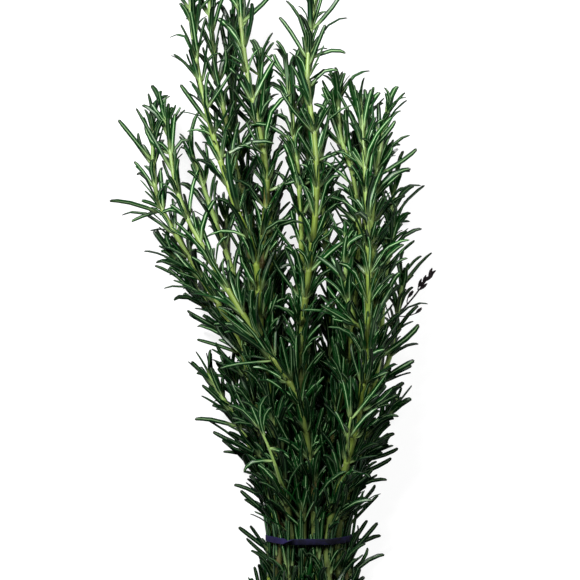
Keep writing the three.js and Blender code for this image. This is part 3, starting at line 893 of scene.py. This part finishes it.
@dataclass
class Grower:
    """Decides the leaves of a sprig from its stem lines.

    Pairs are ranges, and lengths are in metres. The heart is the crowded middle of the
    bunch, and a flank is the side of the bunch beside the band.
    """

    rng: np.random.Generator
    band_low: Vec
    band_high: Vec
    root_share: float = 0.8
    root_depth: float = 0.0006
    main_width: float = 0.0030
    main_full_length: float = 0.020
    main_slimmest: float = 0.65
    main_swing: float = 0.30
    heart_swing: float = 0.16
    main_face_up: tuple[float, float] = (0.2, 1.4)
    face_along: tuple[float, float] = (0.1, 0.9)
    face_aside: tuple[float, float] = (-0.5, 0.5)
    face_up: float = 0.6
    soft_youth: float = 0.3
    soft_length: float = 0.060
    heart_start: float = 0.026
    heart_depth: float = 0.060
    heart_loss: float = 0.15
    heart_flatness: float = 0.5
    flank_start: float = 0.4
    flank_width: float = 0.3
    flank_length: float = 0.06
    flank_ends: float = 1.8
    flank_painted_shade: float = 0.7
    bare_below: float = 0.036
    front_height: float = 0.030
    shade_low: float = 0.012
    shade_depth: float = 0.022
    deepest_shade: float = 0.25
    shade_loss: float = 0.25
    shaded: float = 0.5
    tip_leaves: int = 4
    tip_length: float = 0.010
    tip_turn: float = 2.4
    tip_turn_spread: float = 0.3
    tip_places: tuple[float, float] = (0.1, 1.0)
    tip_shortening: float = 0.35
    tuft_height: float = 0.0010
    tuft_share: float = 0.6
    tuft_firm: float = 0.45
    tuft_leaves: int = 2
    cover_leaves: tuple[float, float] = (5.0, 9.0)
    cover_fade: float = 0.030
    cover_shortening: float = 0.5
    bare_cover: float = 0.3
    cover_spread: float = 1.1
    front_turn: tuple[float, float] = (0.9, 2.2)
    close_share: float = 0.7
    head_cover: float = 0.08
    under_head_cover: float = 0.32
    stray_narrowing: float = 0.85
    stray_flank_painted_shade: float = 0.85
    stray_hook: float = 0.6
    stray_spin: float = 0.3
    stray_tint: tuple[float, float] = (0.3, 0.8)
    stray_youth: tuple[float, float] = (0.0, 0.4)
    lean_up: float = 0.002
    collar_leaves: int = 6
    collar_spread: float = 0.5
    collar_above: tuple[float, float] = (0.004, 0.011)
    collar_below: tuple[float, float] = (0.010, 0.022)
    tucked_leaves: int = 6
    tucked_before: tuple[float, float] = (0.004, 0.024)
    tucked_past: tuple[float, float] = (-0.001, 0.020)
    tucked_shortest: float = 0.014
    tucked_spread: float = 0.55
    tucked_clear: float = 0.0003
    tucked_aside: float = 0.0014
    tucked_foot: float = 0.4
    tucked_fan: float = 90.0
    tucked_spring: tuple[float, float] = (0.0, 0.25)
    tucked_bow: float = 0.02 / 0.018
    tucked_flipped: float = 0.35
    band_margin: tuple[float, float] = (0.001, 0.0015)
    band_gap: tuple[float, float] = (0.001, 0.010)
    dropped_share: float = 0.6
    shortest_cut: float = 0.5
    checks: int = 9
    band_steps: int = 400
    airy: tuple[str, ...] = ("sprig_10", "sprig_12", "sprig_14", "sprig_19", "sprig_23", "sprig_24",
                             "sprig_27")
    airy_above: float = 0.040
    airy_step: int = 4

    @property
    def middle(self) -> Vec:
        """Return the middle of the band."""
        return (self.band_low + self.band_high) / 2

    def leaves_of(self, line: StemLine, sprig: str) -> list[Leaf]:
        """Return the leaves of one stem: those of its CAD node and those between them."""
        spine = Spine(line)
        grown: list[Leaf] = []
        for leaf in line.leaves:
            at = spine.at[leaf.station]
            along = spine.spot(at).along
            softness = clamp(1 - (spine.length - at) / self.soft_length)
            grown.append(self._main_leaf(leaf, along, softness))
            grown += self._kept(self._axil_tuft(leaf, along, softness), sprig)
        for station in sorted({leaf.station for leaf in line.leaves}):
            grown += self._kept(self._cover(spine, spine.at[station]), sprig)
        if line.leaves:
            grown += self._tip_cluster(spine)
        if not line.is_shoot:
            grown += self._collar(spine)
            grown += [self._stray(stray, spine) for stray in STRAYS.get(sprig, ())]
        grown = [self._below_band(leaf) for leaf in grown]
        if not line.is_shoot:
            grown += self._tucked(spine)
        return [leaf for leaf in grown if leaf is not None]

    def on_shoot(self, shoot: SideShoot, line: StemLine) -> list[Leaf]:
        """Return the leaves of a side shoot that lies on top."""
        return [self._stray(stray, Spine(line), shoot.light) for stray in shoot.leaves]

    def _kept(self, small: list[Leaf], sprig: str) -> list[Leaf]:
        """Return the leaves of the axil shoots that a sprig has: an airy one has few."""
        if sprig not in self.airy:
            return small
        clear = self.band_high[1] + self.airy_above
        step = self.airy_step
        return [leaf for k, leaf in enumerate(small) if k % step == step - 1 or leaf.base[1] < clear]

    def _heart(self, root: Vec) -> float:
        """Return 0 among the free tips and 1 in the crowded middle and at the band."""
        return clamp((self.heart_start - root[1]) / self.heart_depth)

    def _shade(self, root: Vec) -> float:
        """Return a quarter for a leaf at the bottom of the heap, up to 1 for one on top."""
        return clamp((root[2] - self.shade_low) / self.shade_depth, self.deepest_shade)

    def _tint_and_shade(self, root: Vec) -> float:
        """Return how light a leaf is: old leaves, low on a stem or in painted shade underneath, are dark.
        """
        # Painted shade: leaves in the crowded middle, low in the heap and on the flanks beside the band
        # are darker.
        light = (1 - self.heart_loss * self._heart(root)) * (1 - self.flank_painted_shade * self._flank(root))
        return self.rng.uniform(0, 1) * light * self._shade(root)

    def _flank(self, root: Vec) -> float:
        """Return 1 for a leaf on the bunch's flanks near the band, and 0 elsewhere."""
        aside = abs(root[0] - self.middle[0]) * 2 / (self.band_high[0] - self.band_low[0])
        apart = abs(root[1] - self.middle[1]) / self.flank_length
        return clamp((aside - self.flank_start) / self.flank_width) * clamp(self.flank_ends - apart)

    def _below_band(self, leaf: Leaf) -> Leaf | None:
        """Return a leaf, cut short of the band if it would lie over it, or nothing."""
        low, high = self.band_low, self.band_high
        reach = leaf.tip - leaf.base
        spots = leaf.base + np.linspace(0, 1, self.checks)[:, None] * reach
        small, wide = self.band_margin
        near = (spots[:, 1] > low[1] - wide) & (spots[:, 1] < high[1] + small)
        inside = (spots[:, 0] > low[0] - small) & (spots[:, 0] < high[0] + small)
        if not np.any(near & inside):
            return leaf
        room = low[1] - self.rng.uniform(*self.band_gap) - leaf.base[1]
        share = room / max(reach[1], 1e-6)
        if share < self.shortest_cut or self.rng.uniform() < self.dropped_share:
            return None
        leaf.tip = leaf.base + reach * min(share, 1.0)
        return leaf

    def _leaf(self, kind: Growth, root: Vec, tip: Vec, face: Vec, rise: Vec) -> Leaf:
        """Draw the shape and colour of a leaf of a kind between two points."""
        rng = self.rng
        return Leaf(
            base=root, tip=tip, face=face, rise=rise, width=rng.uniform(*kind.width),
            bow=rng.normal(*kind.bow), hook=rng.uniform(*kind.hook), sway=rng.normal(0, kind.sway),
            roll=rng.normal(0, kind.roll), twist=rng.normal(0, kind.twist), tint_and_shade=self._tint_and_shade(root),
            youth=rng.uniform(*kind.youth), dryness=float(rng.uniform() < kind.dry))

    def _grow(self, kind: Growth, root: Vec, along: Vec, outward: Vec, scale: float = 1.0,
              softness: float = 0.0) -> Leaf:
        """Draw one leaf of a kind.

        Args:
            kind: The ranges to draw from.
            root: Where the leaf starts.
            along: Direction of the stem.
            outward: Direction square to the stem in which the leaf leans.
            scale: Factor on its length.
            softness: 1 at the soft tip of a stem and 0 on its firm part.

        Returns:
            The leaf.
        """
        rng = self.rng
        heading = turned(along, outward, rng.uniform(*kind.tilt))
        heading = unit(heading + rng.normal(0, kind.lean) * np.cross(along, outward))
        tip = root + heading * rng.uniform(*kind.length) * scale
        face = along * rng.uniform(*self.face_along) - outward * rng.uniform(*self.face_aside)
        leaf = self._leaf(kind, root, tip, face + UP * self.face_up, along)
        leaf.youth = min(leaf.youth + self.soft_youth * softness, 1.0)
        return leaf

    def _main_leaf(self, leaf: CadLeaf, along: Vec, softness: float) -> Leaf:
        """Return the blade that stands for a CAD leaf."""
        rng = self.rng
        reach = leaf.point - leaf.base
        length = float(np.linalg.norm(reach))
        heart = self._heart(leaf.base)
        fit = 1 - self.shade_loss + self.shade_loss * self._shade(leaf.base)
        fit *= 1 - self.heart_loss * heart
        fit *= 1 - self.tip_shortening * clamp(4 * softness - 3)
        swing = square_to(rng.normal(0, 1, 3), reach) * length
        swing *= rng.normal(0, self.main_swing - self.heart_swing * heart)
        tip = leaf.base + reach * rng.uniform(*MAIN.length) * fit + swing
        face = along + UP * rng.uniform(*self.main_face_up)
        blade = self._leaf(MAIN, leaf.base, tip, face, along)
        blade.base = leaf.base - square_to(reach, along) * self.root_depth
        blade.width *= self.main_width * clamp(length / self.main_full_length, self.main_slimmest)
        blade.bow *= 1 - self.heart_flatness * heart
        blade.youth *= softness
        return blade

    def _axil_tuft(self, leaf: CadLeaf, along: Vec, softness: float) -> list[Leaf]:
        """Return the small leaves of the short shoot in a leaf's axil."""
        outward = square_to(leaf.point - leaf.base, along)
        root = leaf.base + along * self.tuft_height - outward * self.root_depth
        fullness = min(self._heart(root) + self.tuft_firm * (1 - softness), self.tuft_share)
        return [self._grow(TUFT, root, along, outward, softness=softness)
                for _ in range(self.rng.binomial(self.tuft_leaves, fullness))]

    def _cover(self, spine: Spine, at: float) -> list[Leaf]:
        """Return the longer leaves of the axil shoots that lie forward along the stem."""
        rng, spot = self.rng, spine.spot(at)
        root, along = spot.centre, spot.along
        head = self.under_head_cover if self._shade(root) < self.shaded else self.head_cover
        share = max(head, self._heart(root))
        if -self.bare_below < root[1] - self.band_low[1] < 0:
            share *= self.bare_cover
        scale = 1 - self.cover_shortening * clamp(1 - (spine.length - at) / self.cover_fade)
        up = square_to(UP, along)
        cover = []
        for _ in range(round(rng.uniform(*self.cover_leaves) * share)):
            turn = rng.normal(0, self.cover_spread)
            if root[2] > self.front_height:
                turn = rng.choice([-1, 1]) * rng.uniform(*self.front_turn)
            outward = turned(up, np.cross(along, up), turn)
            kind = COVER_CLOSE if rng.uniform() < self.close_share else COVER_OPEN
            foot = root + outward * spot.half * self.root_share
            cover.append(self._grow(kind, foot, along, outward, scale))
        return cover

    def _stray(self, stray: Stray, spine: Spine, light: float | None = None) -> Leaf:
        """Return one of the leaves that stand out, with painted shade beside the band if light isn't
        given.
        """
        spot = spine.spot(spine.length - stray.from_tip)
        heading = aimed(stray.heading, stray.climb)
        root = spot.centre + square_to(heading, spot.along) * spot.half * self.root_share
        # Painted shade darkens a stray on the flank beside the band.
        if light is None:
            light = 1 - self.stray_flank_painted_shade * self._flank(root)
        return Leaf(
            base=root, tip=root + heading * stray.length, face=UP + 0.3 * spot.along,
            rise=spot.along, width=self.main_width * self.stray_narrowing, bow=stray.arch,
            hook=self.stray_hook, sway=0.0, roll=self.rng.normal(0, self.stray_spin),
            twist=self.rng.normal(0, self.stray_spin), tint_and_shade=self.rng.uniform(*self.stray_tint) * light,
            youth=self.rng.uniform(*self.stray_youth) * light, dryness=1.0)

    def _outward(self, spine: Spine, at: float, spread: float) -> tuple[Spot, Vec]:
        """Return a place on a stem and a direction that points from there out of the bunch."""
        spot = spine.spot(at)
        away = (spot.centre - self.middle) * (1, 0, 1) + UP * self.lean_up
        away = square_to(away, spot.along)
        return spot, turned(away, np.cross(spot.along, away), self.rng.normal(0, spread))

    def _at_band(self, spine: Spine) -> float:
        """Return the distance along a stem at which it passes under the band."""
        s = np.linspace(0, spine.length, self.band_steps)
        return float(s[np.argmin(np.abs(spine.centre(s)[:, 1] - self.middle[1]))])

    def _collar(self, spine: Spine) -> list[Leaf]:
        """Return leaves that start just above and just below the band."""
        rng, band = self.rng, self._at_band(spine)
        collar = []
        for k in range(self.collar_leaves):
            offset = -rng.uniform(*self.collar_below) if k % 2 else rng.uniform(*self.collar_above)
            spot, outward = self._outward(spine, band + offset, self.collar_spread)
            root = spot.centre + outward * spot.half * self.root_share
            collar.append(self._grow(COLLAR, root, spot.along, outward))
        return collar

    def _tucked(self, spine: Spine) -> list[Leaf]:
        """Return leaves that lie along the stem and pass under the band."""
        rng, band = self.rng, self._at_band(spine)
        tucked = []
        for _ in range(self.tucked_leaves):
            start = band - rng.uniform(*self.tucked_before)
            end = max(band + rng.uniform(*self.tucked_past), start + self.tucked_shortest)
            spot, outward = self._outward(spine, start, self.tucked_spread)
            past = max(end - band, 0.0)
            lift = spot.half + self.tucked_clear
            aside = np.cross(spot.along, outward) * rng.normal(0, self.tucked_aside)
            tip = spine.spot(end).centre + outward * (lift + past * rng.uniform(*self.tucked_spring))
            tucked.append(Leaf(
                base=spot.centre + outward * lift + aside * self.tucked_foot,
                tip=tip + aside * (1 + past * self.tucked_fan), face=outward + UP * 0.3,
                rise=-outward, width=rng.uniform(*TUCKED.width),
                bow=self.tucked_bow * past, hook=0.0,
                sway=rng.normal(0, TUCKED.sway),
                roll=rng.normal(0, TUCKED.roll) + math.pi * float(rng.uniform() < self.tucked_flipped),
                twist=rng.normal(0, TUCKED.twist), tint_and_shade=self._tint_and_shade(spot.centre),
                youth=rng.uniform(*TUCKED.youth), dryness=float(rng.uniform() < TUCKED.dry)))
        return tucked

    def _tip_cluster(self, spine: Spine) -> list[Leaf]:
        """Return the young leaves that close up round a stem's tip."""
        cluster = []
        for k in range(self.tip_leaves):
            spot = spine.spot(spine.length - self.tip_length * self.rng.uniform(*self.tip_places))
            turn = self.tip_turn * k + self.rng.normal(0, self.tip_turn_spread)
            outward = turned(spot.across, spot.third, turn)
            cluster.append(self._grow(TIP, spot.centre, spot.along, outward))
        return cluster


@dataclass
class StemBuilder:
    """Lays copies of the master joint end to end along the stem lines of one sprig."""

    joint: MeshCopy
    barkiness: float
    old_age: float = 0.30
    node_share: float = 0.09
    tip_bulge: float = 0.0004
    cut_dish: float = 0.00025
    points: list[Vec] = field(default_factory=list)
    looks: list[Vec] = field(default_factory=list)
    spots: list[Vec] = field(default_factory=list)
    faces: list[list[int]] = field(default_factory=list)
    cut_faces: list[list[int]] = field(default_factory=list)

    def _add(self, points: Vec, look: tuple[Any, ...], spot: tuple[Any, ...]) -> int:
        """Add points and what the stem finishes read there, and return the first one's number."""
        start = sum(len(rows) for rows in self.points)
        self.points.append(points)
        for rows, columns in ((self.looks, look), (self.spots, spot)):
            rows.append(np.stack([np.broadcast_to(c, len(points)) for c in columns], axis=1))
        return start

    def add_line(self, line: StemLine) -> None:
        """Add one stem with a blunt tip, and with a cut end if it is the main stem."""
        spine = Spine(line)
        x, y, z = self.joint.points.T
        turn = np.arctan2(z, y) / (2 * math.pi) + 0.5
        node = np.clip(1 - np.minimum(x, 1 - x) / self.node_share, 0, 1)
        for at, step in zip(spine.at, np.diff(spine.at)):
            s = at + x * step
            _, across, third = spine.frame(s)
            ring = y[:, None] * across + z[:, None] * third
            age = np.clip((spine.length - s) / self.old_age, 0, 1)
            start = self._add(spine.centre(s) + ring * spine.half_width(s)[:, None],
                              (age, node, self.barkiness), (s, turn, 1.0))
            self.faces += self.joint.faces_from(start)
        tip = spine.spot(spine.length)
        apex = self._add((tip.centre + tip.along * self.tip_bulge)[None],
                         (0.0, 0.0, self.barkiness), (spine.length, 0.5, 1.0))
        ring = self._ring(1.0, start)
        self.faces += [[a, b, apex] for a, b in zip(ring, ring[1:] + ring[:1])]
        if not line.is_shoot:
            self._cut_end(spine.spot(0.0))

    def _ring(self, end: float, start: int) -> list[int]:
        """Return the points at one end of the joint that begins at start, in order round it."""
        x, y, z = self.joint.points.T
        ids = np.flatnonzero(np.isclose(x, end, atol=1e-4))
        return [start + int(i) for i in ids[np.argsort(np.arctan2(z[ids], y[ids]))]]

    def _cut_end(self, foot: Spot) -> None:
        """Close the foot of the main stem, the first line, with a slightly dished cut face."""
        rim = self.points[0][self._ring(0.0, 0)]
        points = np.vstack([rim, foot.centre + foot.along * self.cut_dish])
        radii = np.array([1.0] * len(rim) + [0.0])
        start = self._add(points, (0.0, 0.0, 0.0), (0.0, 0.0, radii))
        ring = list(range(start, start + len(rim)))
        self.cut_faces += [[b, a, start + len(rim)] for a, b in zip(ring, ring[1:] + ring[:1])]

    def build(self, name: str) -> bpy.types.Object:
        """Make the piece, whose second finish is that of the cut end."""
        piece = new_piece(name, np.concatenate(self.points), self.faces + self.cut_faces)
        store(piece, STEM_LOOK, *np.concatenate(self.looks).T)
        store(piece, STEM_SPOT, *np.concatenate(self.spots).T)
        kinds = [0] * len(self.faces) + [1] * len(self.cut_faces)
        piece.data.polygons.foreach_set("material_index", kinds)
        return piece


@dataclass
class SprigPieces:
    """Makes the stem and foliage of every sprig."""

    blade: MeshCopy
    joint: MeshCopy
    leaf: bpy.types.Material
    stem: bpy.types.Material
    cut: bpy.types.Material
    dry: bpy.types.Material
    band_box: tuple[Vec, Vec]
    cup_length: float = 0.0046
    cup_profile: Profile = ((0.0, 0.0003), (0.3, 0.0006), (0.6, 0.0007), (0.9, 0.0004), (1.0, 0.0002))
    cups: int = 2
    dry_twigs: tuple[tuple[float, float, float], ...] = (
        (0.40, 0.4, 0.011), (0.58, 3.3, 0.004), (0.78, 3.3, 0.0025), (0.80, 0.5, 0.001),
        (0.87, 3.5, 0.001), (0.93, 0.3, 0.001), (0.98, 3.0, 0.001))
    twig_half_widths: tuple[float, float, float] = (0.0003, 0.00025, 0.00025)
    stalk_half_widths: tuple[float, float] = (0.0005, 0.0003)
    twig_lean: float = 0.8
    twig_bend: float = 0.1
    cup_spread: float = 0.2
    dry_length: float = 0.9
    dry_droop: float = math.radians(5)

    def build(self, node: bpy.types.Object, seed: int) -> None:
        """Build one sprig in place of its CAD node."""
        rng = np.random.default_rng(seed)
        lines = SprigReader(node).lines()
        builder = StemBuilder(self.joint, barkiness=float(rng.uniform(0, 0.45)))
        foliage = Foliage(self.blade)
        grower = Grower(rng, *self.band_box)
        for line in lines:
            if line.is_shoot and not line.leaves:
                self._dried_stalk(node, line, seed)
            else:
                builder.add_line(line)
                foliage.leaves += grower.leaves_of(line, node.name)
        if node.name in SIDE_SHOOTS:
            shoot = SIDE_SHOOTS[node.name]
            line = shoot.line(Spine(lines[0]))
            builder.add_line(line)
            foliage.leaves += grower.on_shoot(shoot, line)
        put_in_place(builder.build(f"{node.name}_stem"), Slot.SPRIG, node.name, self.stem, self.cut)
        put_in_place(foliage.build(f"{node.name}_leaves"), Slot.SPRIG, node.name, self.leaf)

    def _dried_stalk(self, node: bpy.types.Object, line: StemLine, seed: int) -> None:
        """Build a leafless dried flower stalk with the dry cups of its flowers."""
        rng = np.random.default_rng(seed + 1000)
        foot, count = line.points[0], len(line.points)
        line.half_widths = list(np.linspace(*self.stalk_half_widths, count, endpoint=False))
        cos, sin = math.cos(self.dry_droop), math.sin(self.dry_droop)
        droop = self.dry_length * np.array([[cos, sin, 0], [-sin, cos, 0], [0, 0, 1]])
        line.points = [foot + droop @ (point - foot) for point in line.points]
        builder = StemBuilder(self.joint, barkiness=1.0)
        builder.add_line(line)
        spine = Spine(line)
        for share, turn, reach in self.dry_twigs:
            spot = spine.spot(spine.length * share)
            aside = turned(spot.across, spot.third, turn)
            heading = unit(spot.along + self.twig_lean * aside) * reach
            elbow = spot.centre + heading / 2 + aside * reach * self.twig_bend
            end = spot.centre + heading
            twig = [spot.centre, elbow, end]
            builder.add_line(StemLine(twig, list(self.twig_half_widths), is_shoot=True))
            for _ in range(self.cups):
                self._add_cup(builder, end, unit(spot.along + rng.normal(0, self.cup_spread, 3)))
        put_in_place(builder.build(f"{node.name}_flower_stalk"), Slot.SPRIG, node.name, self.dry)

    def _add_cup(self, builder: StemBuilder, root: Vec, heading: Vec) -> None:
        """Add one dry flower cup, a small bell that widens and closes at its lips."""
        points = [root + heading * self.cup_length * share for share, _ in self.cup_profile]
        builder.add_line(StemLine(points, [r for _, r in self.cup_profile], is_shoot=True))


@dataclass
class RubberBand:
    """The flat elastic band: a strap with rounded edges that is turned over once on top."""

    width: float = 0.0034
    thickness: float = 0.0010
    edge: float = 0.00038
    lift: float = 0.0009
    cuts: tuple[int, int] = (89, 1)
    samples: int = 240
    smoothing: int = 6
    twist_aside: float = 0.0121
    twist_half: float = 0.0048
    twist_rise: float = 0.0008

    def build(self, node: bpy.types.Object, finish: bpy.types.Material) -> None:
        """Model the strap flat, lay it round the line of the CAD band and dress it."""
        loop = self._loop(node)
        strap = self._flat_strap()
        share, across, out = places(strap.data).T
        share = share + 0.5
        for vertex, point in zip(strap.data.vertices, self._wrap(loop, share, across, out)):
            vertex.co = point
        store(strap, BAND_LOOK, share, across / self.width, out > 0)
        deselect_all()
        strap.select_set(True)
        bpy.context.view_layer.objects.active = strap
        bpy.ops.object.mode_set(mode="EDIT")
        bpy.ops.mesh.select_all(action="SELECT")
        bpy.ops.mesh.remove_doubles(threshold=1e-5)
        finish_edit()
        bpy.ops.object.shade_smooth_by_angle(angle=math.radians(50))
        put_in_place(strap, Slot.BAND, node.name, finish)

    def _flat_strap(self) -> bpy.types.Object:
        """Model a straight open strap, 1 m long, with rounded edges and many cross cuts."""
        deselect_all()
        bpy.ops.mesh.primitive_cube_add(size=1)
        strap = bpy.context.object
        strap.name = "band_strap"
        strap.scale = (1.0, self.width, self.thickness)
        bpy.ops.object.transform_apply(location=True, rotation=True, scale=True)
        bpy.ops.object.mode_set(mode="EDIT")
        bpy.ops.mesh.select_mode(type="FACE")
        select_where(strap, "faces", lambda face: abs(face.normal.x) > 0.9)
        bpy.ops.mesh.delete(type="ONLY_FACE")
        bpy.ops.mesh.select_mode(type="EDGE")
        select_where(strap, "edges", self._runs_along)
        bpy.ops.mesh.bevel(offset=self.edge, segments=3, affect="EDGES")
        for cuts in self.cuts:
            select_where(strap, "edges", self._runs_along)
            bpy.ops.mesh.subdivide(number_cuts=cuts)
        bpy.ops.mesh.select_mode(type="VERT")
        bpy.ops.object.mode_set(mode="OBJECT")
        return strap

    @staticmethod
    def _runs_along(edge: Any) -> bool:
        """Tell whether an edge runs along the strap."""
        return abs(edge.verts[1].co.x - edge.verts[0].co.x) > 0.5 * edge.calc_length()

    def _loop(self, node: bpy.types.Object) -> Vec:
        """Return evenly spaced points on the middle line of the CAD band."""
        corners = np.round(places(node.data), 6)
        flat = np.unique(corners[:, [0, 2]], axis=0)
        order = convex_hull_2d(flat.tolist())
        hull = flat[np.roll(order, -order.index(0))]
        heights = [corners[np.all(corners[:, [0, 2]] == h, axis=1)][:, 1].mean() for h in hull]
        ring = np.column_stack([hull[:, 0], heights, hull[:, 1]])
        ring = np.vstack([ring, ring[:1]])
        at = distances(ring)
        loop = sampled(np.linspace(0, at[-1], self.samples, endpoint=False), at, ring)
        for _ in range(self.smoothing):
            loop = (np.roll(loop, 1, axis=0) + 2 * loop + np.roll(loop, -1, axis=0)) / 4
        x, z = flat.mean(axis=0)
        loop += unit((loop - [x, 0, z]) * [1, 0, 1]) * (self.lift - self.thickness / 2)
        loop[:, 2] = np.maximum(loop[:, 2], self.thickness / 2)
        return loop

    def _wrap(self, loop: Vec, share: Vec, across: Vec, out: Vec) -> Vec:
        """Lay the strap's points round the loop, turned over at the twist.

        Args:
            loop: Points on the middle line.
            share: Place of each strap point along the strap, from 0 to 1.
            across: Its place across the width.
            out: Its place through the thickness.

        Returns:
            The points.
        """
        half = self.samples // 2
        top = int(np.argmin(np.hypot(loop[:, 0] - (loop[:, 0].mean() - self.twist_aside),
                                     loop[:, 2] - loop[:, 2].max())))
        loop = np.roll(loop, half - top, axis=0)
        sideways = np.array([0.0, 1.0, 0.0])
        normal = unit(np.cross(unit(np.roll(loop, -1, axis=0) - np.roll(loop, 1, axis=0)), sideways))
        if np.sum(normal * (loop - loop.mean(axis=0))) < 0:
            normal = -normal
        closed, normals = (np.vstack([rows, rows[:1]]) for rows in (loop, normal))
        s = share * self.samples
        steps = np.arange(self.samples + 1)
        facing = unit(sampled(s, steps, normals))
        from_twist = (s - half) * distances(closed)[-1] / self.samples / self.twist_half
        turn = math.pi * np.clip(from_twist / 2 + 0.5, 0, 1)
        turn = (math.pi * (1 - np.cos(turn)) / 2)[:, None]
        rise = self.twist_rise * np.exp(-(from_twist**2))
        points = sampled(s, steps, closed) + facing * rise[:, None]
        points += turned(sideways, facing, turn) * across[:, None]
        points += turned(facing, -sideways, turn) * out[:, None]
        points[:, 2] = np.maximum(points[:, 2], 0.0)
        return points


@dataclass
class Studio:
    """White floor, soft lamps and a camera that looks straight down."""

    view_width: float = 0.319
    view_offset: tuple[float, float] = (-0.0105, 0.1375)
    view_plane: float = 0.027
    camera_distance: float = 1.6
    sensor: float = 36.0
    floor_size: float = 6.0
    key_power: float = 28.0
    second_power: float = 11.0
    key_place: tuple[float, float, float] = (-0.45, 0.60, 0.75)
    key_size: float = 0.35
    second_place: tuple[float, float, float] = (0.55, 0.55, 0.80)
    second_size: float = 0.45
    world_strength: float = 0.03

    def build(self, band_centre: Vec, finish: bpy.types.Material) -> None:
        """Build the floor, the lamps, the world and the camera."""
        deselect_all()
        bpy.ops.mesh.primitive_plane_add(size=self.floor_size)
        floor = bpy.context.object
        floor.name = "studio_floor"
        floor.data.materials.append(finish)
        self._lamp("key_lamp", self.key_place, self.key_size, self.key_power)
        self._lamp("second_lamp", self.second_place, self.second_size, self.second_power)
        world = bpy.data.worlds.new("studio_world")
        world.use_nodes = True
        backdrop = world.node_tree.nodes["Background"]
        backdrop.inputs["Color"].default_value = (1.0, 1.0, 1.0, 1.0)
        backdrop.inputs["Strength"].default_value = self.world_strength
        bpy.context.scene.world = world
        bpy.context.scene.view_settings.view_transform = "Standard"
        self._camera(band_centre)

    @staticmethod
    def _lamp(name: str, place: tuple[float, float, float], size: float, power: float) -> None:
        """Add a square lamp that looks at the bunch."""
        bpy.ops.object.light_add(type="AREA", location=place)
        lamp = bpy.context.object
        lamp.name = name
        lamp.data.size = size
        lamp.data.energy = power
        lamp.rotation_mode = "QUATERNION"
        lamp.rotation_quaternion = lamp.location.to_track_quat("Z", "Y")

    def _camera(self, band_centre: Vec) -> None:
        """Add the camera over the bunch, framed from the place of the band."""
        data = bpy.data.cameras.new("camera")
        data.sensor_width = self.sensor
        data.lens = self.sensor * self.camera_distance / self.view_width
        camera = bpy.data.objects.new("camera", data)
        camera.location = (band_centre[0] + self.view_offset[0],
                           band_centre[1] + self.view_offset[1],
                           self.view_plane + self.camera_distance)
        bpy.context.scene.collection.objects.link(camera)
        bpy.context.scene.camera = camera


def corners(pair: tuple[Any, Any]) -> list[list[float]]:
    """Return the two corners of a box as plain lists."""
    return [[float(value) for value in corner] for corner in pair]


def main() -> None:
    """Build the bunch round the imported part."""
    logging.basicConfig(level=logging.INFO, format="%(message)s")
    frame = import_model()
    low, high = (np.array(corner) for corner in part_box(BAND_NODE))
    Studio().build((low + high) / 2, FloorFinish().material())
    pieces = SprigPieces(
        blade=LeafBlade().model(), joint=StemJoint().model(),
        leaf=LeafFinish().material(), stem=StemFinish().material(),
        cut=CutWoodFinish().material(), dry=DryStalkFinish().material(),
        band_box=(low, high))
    sprigs = sorted(name for name in frame["nodes"] if name != BAND_NODE)
    for seed, name in enumerate(sprigs):
        pieces.build(frame["nodes"][name], seed)
    RubberBand().build(frame["nodes"][BAND_NODE], RubberFinish().material())


if __name__ == "__main__":
    main()
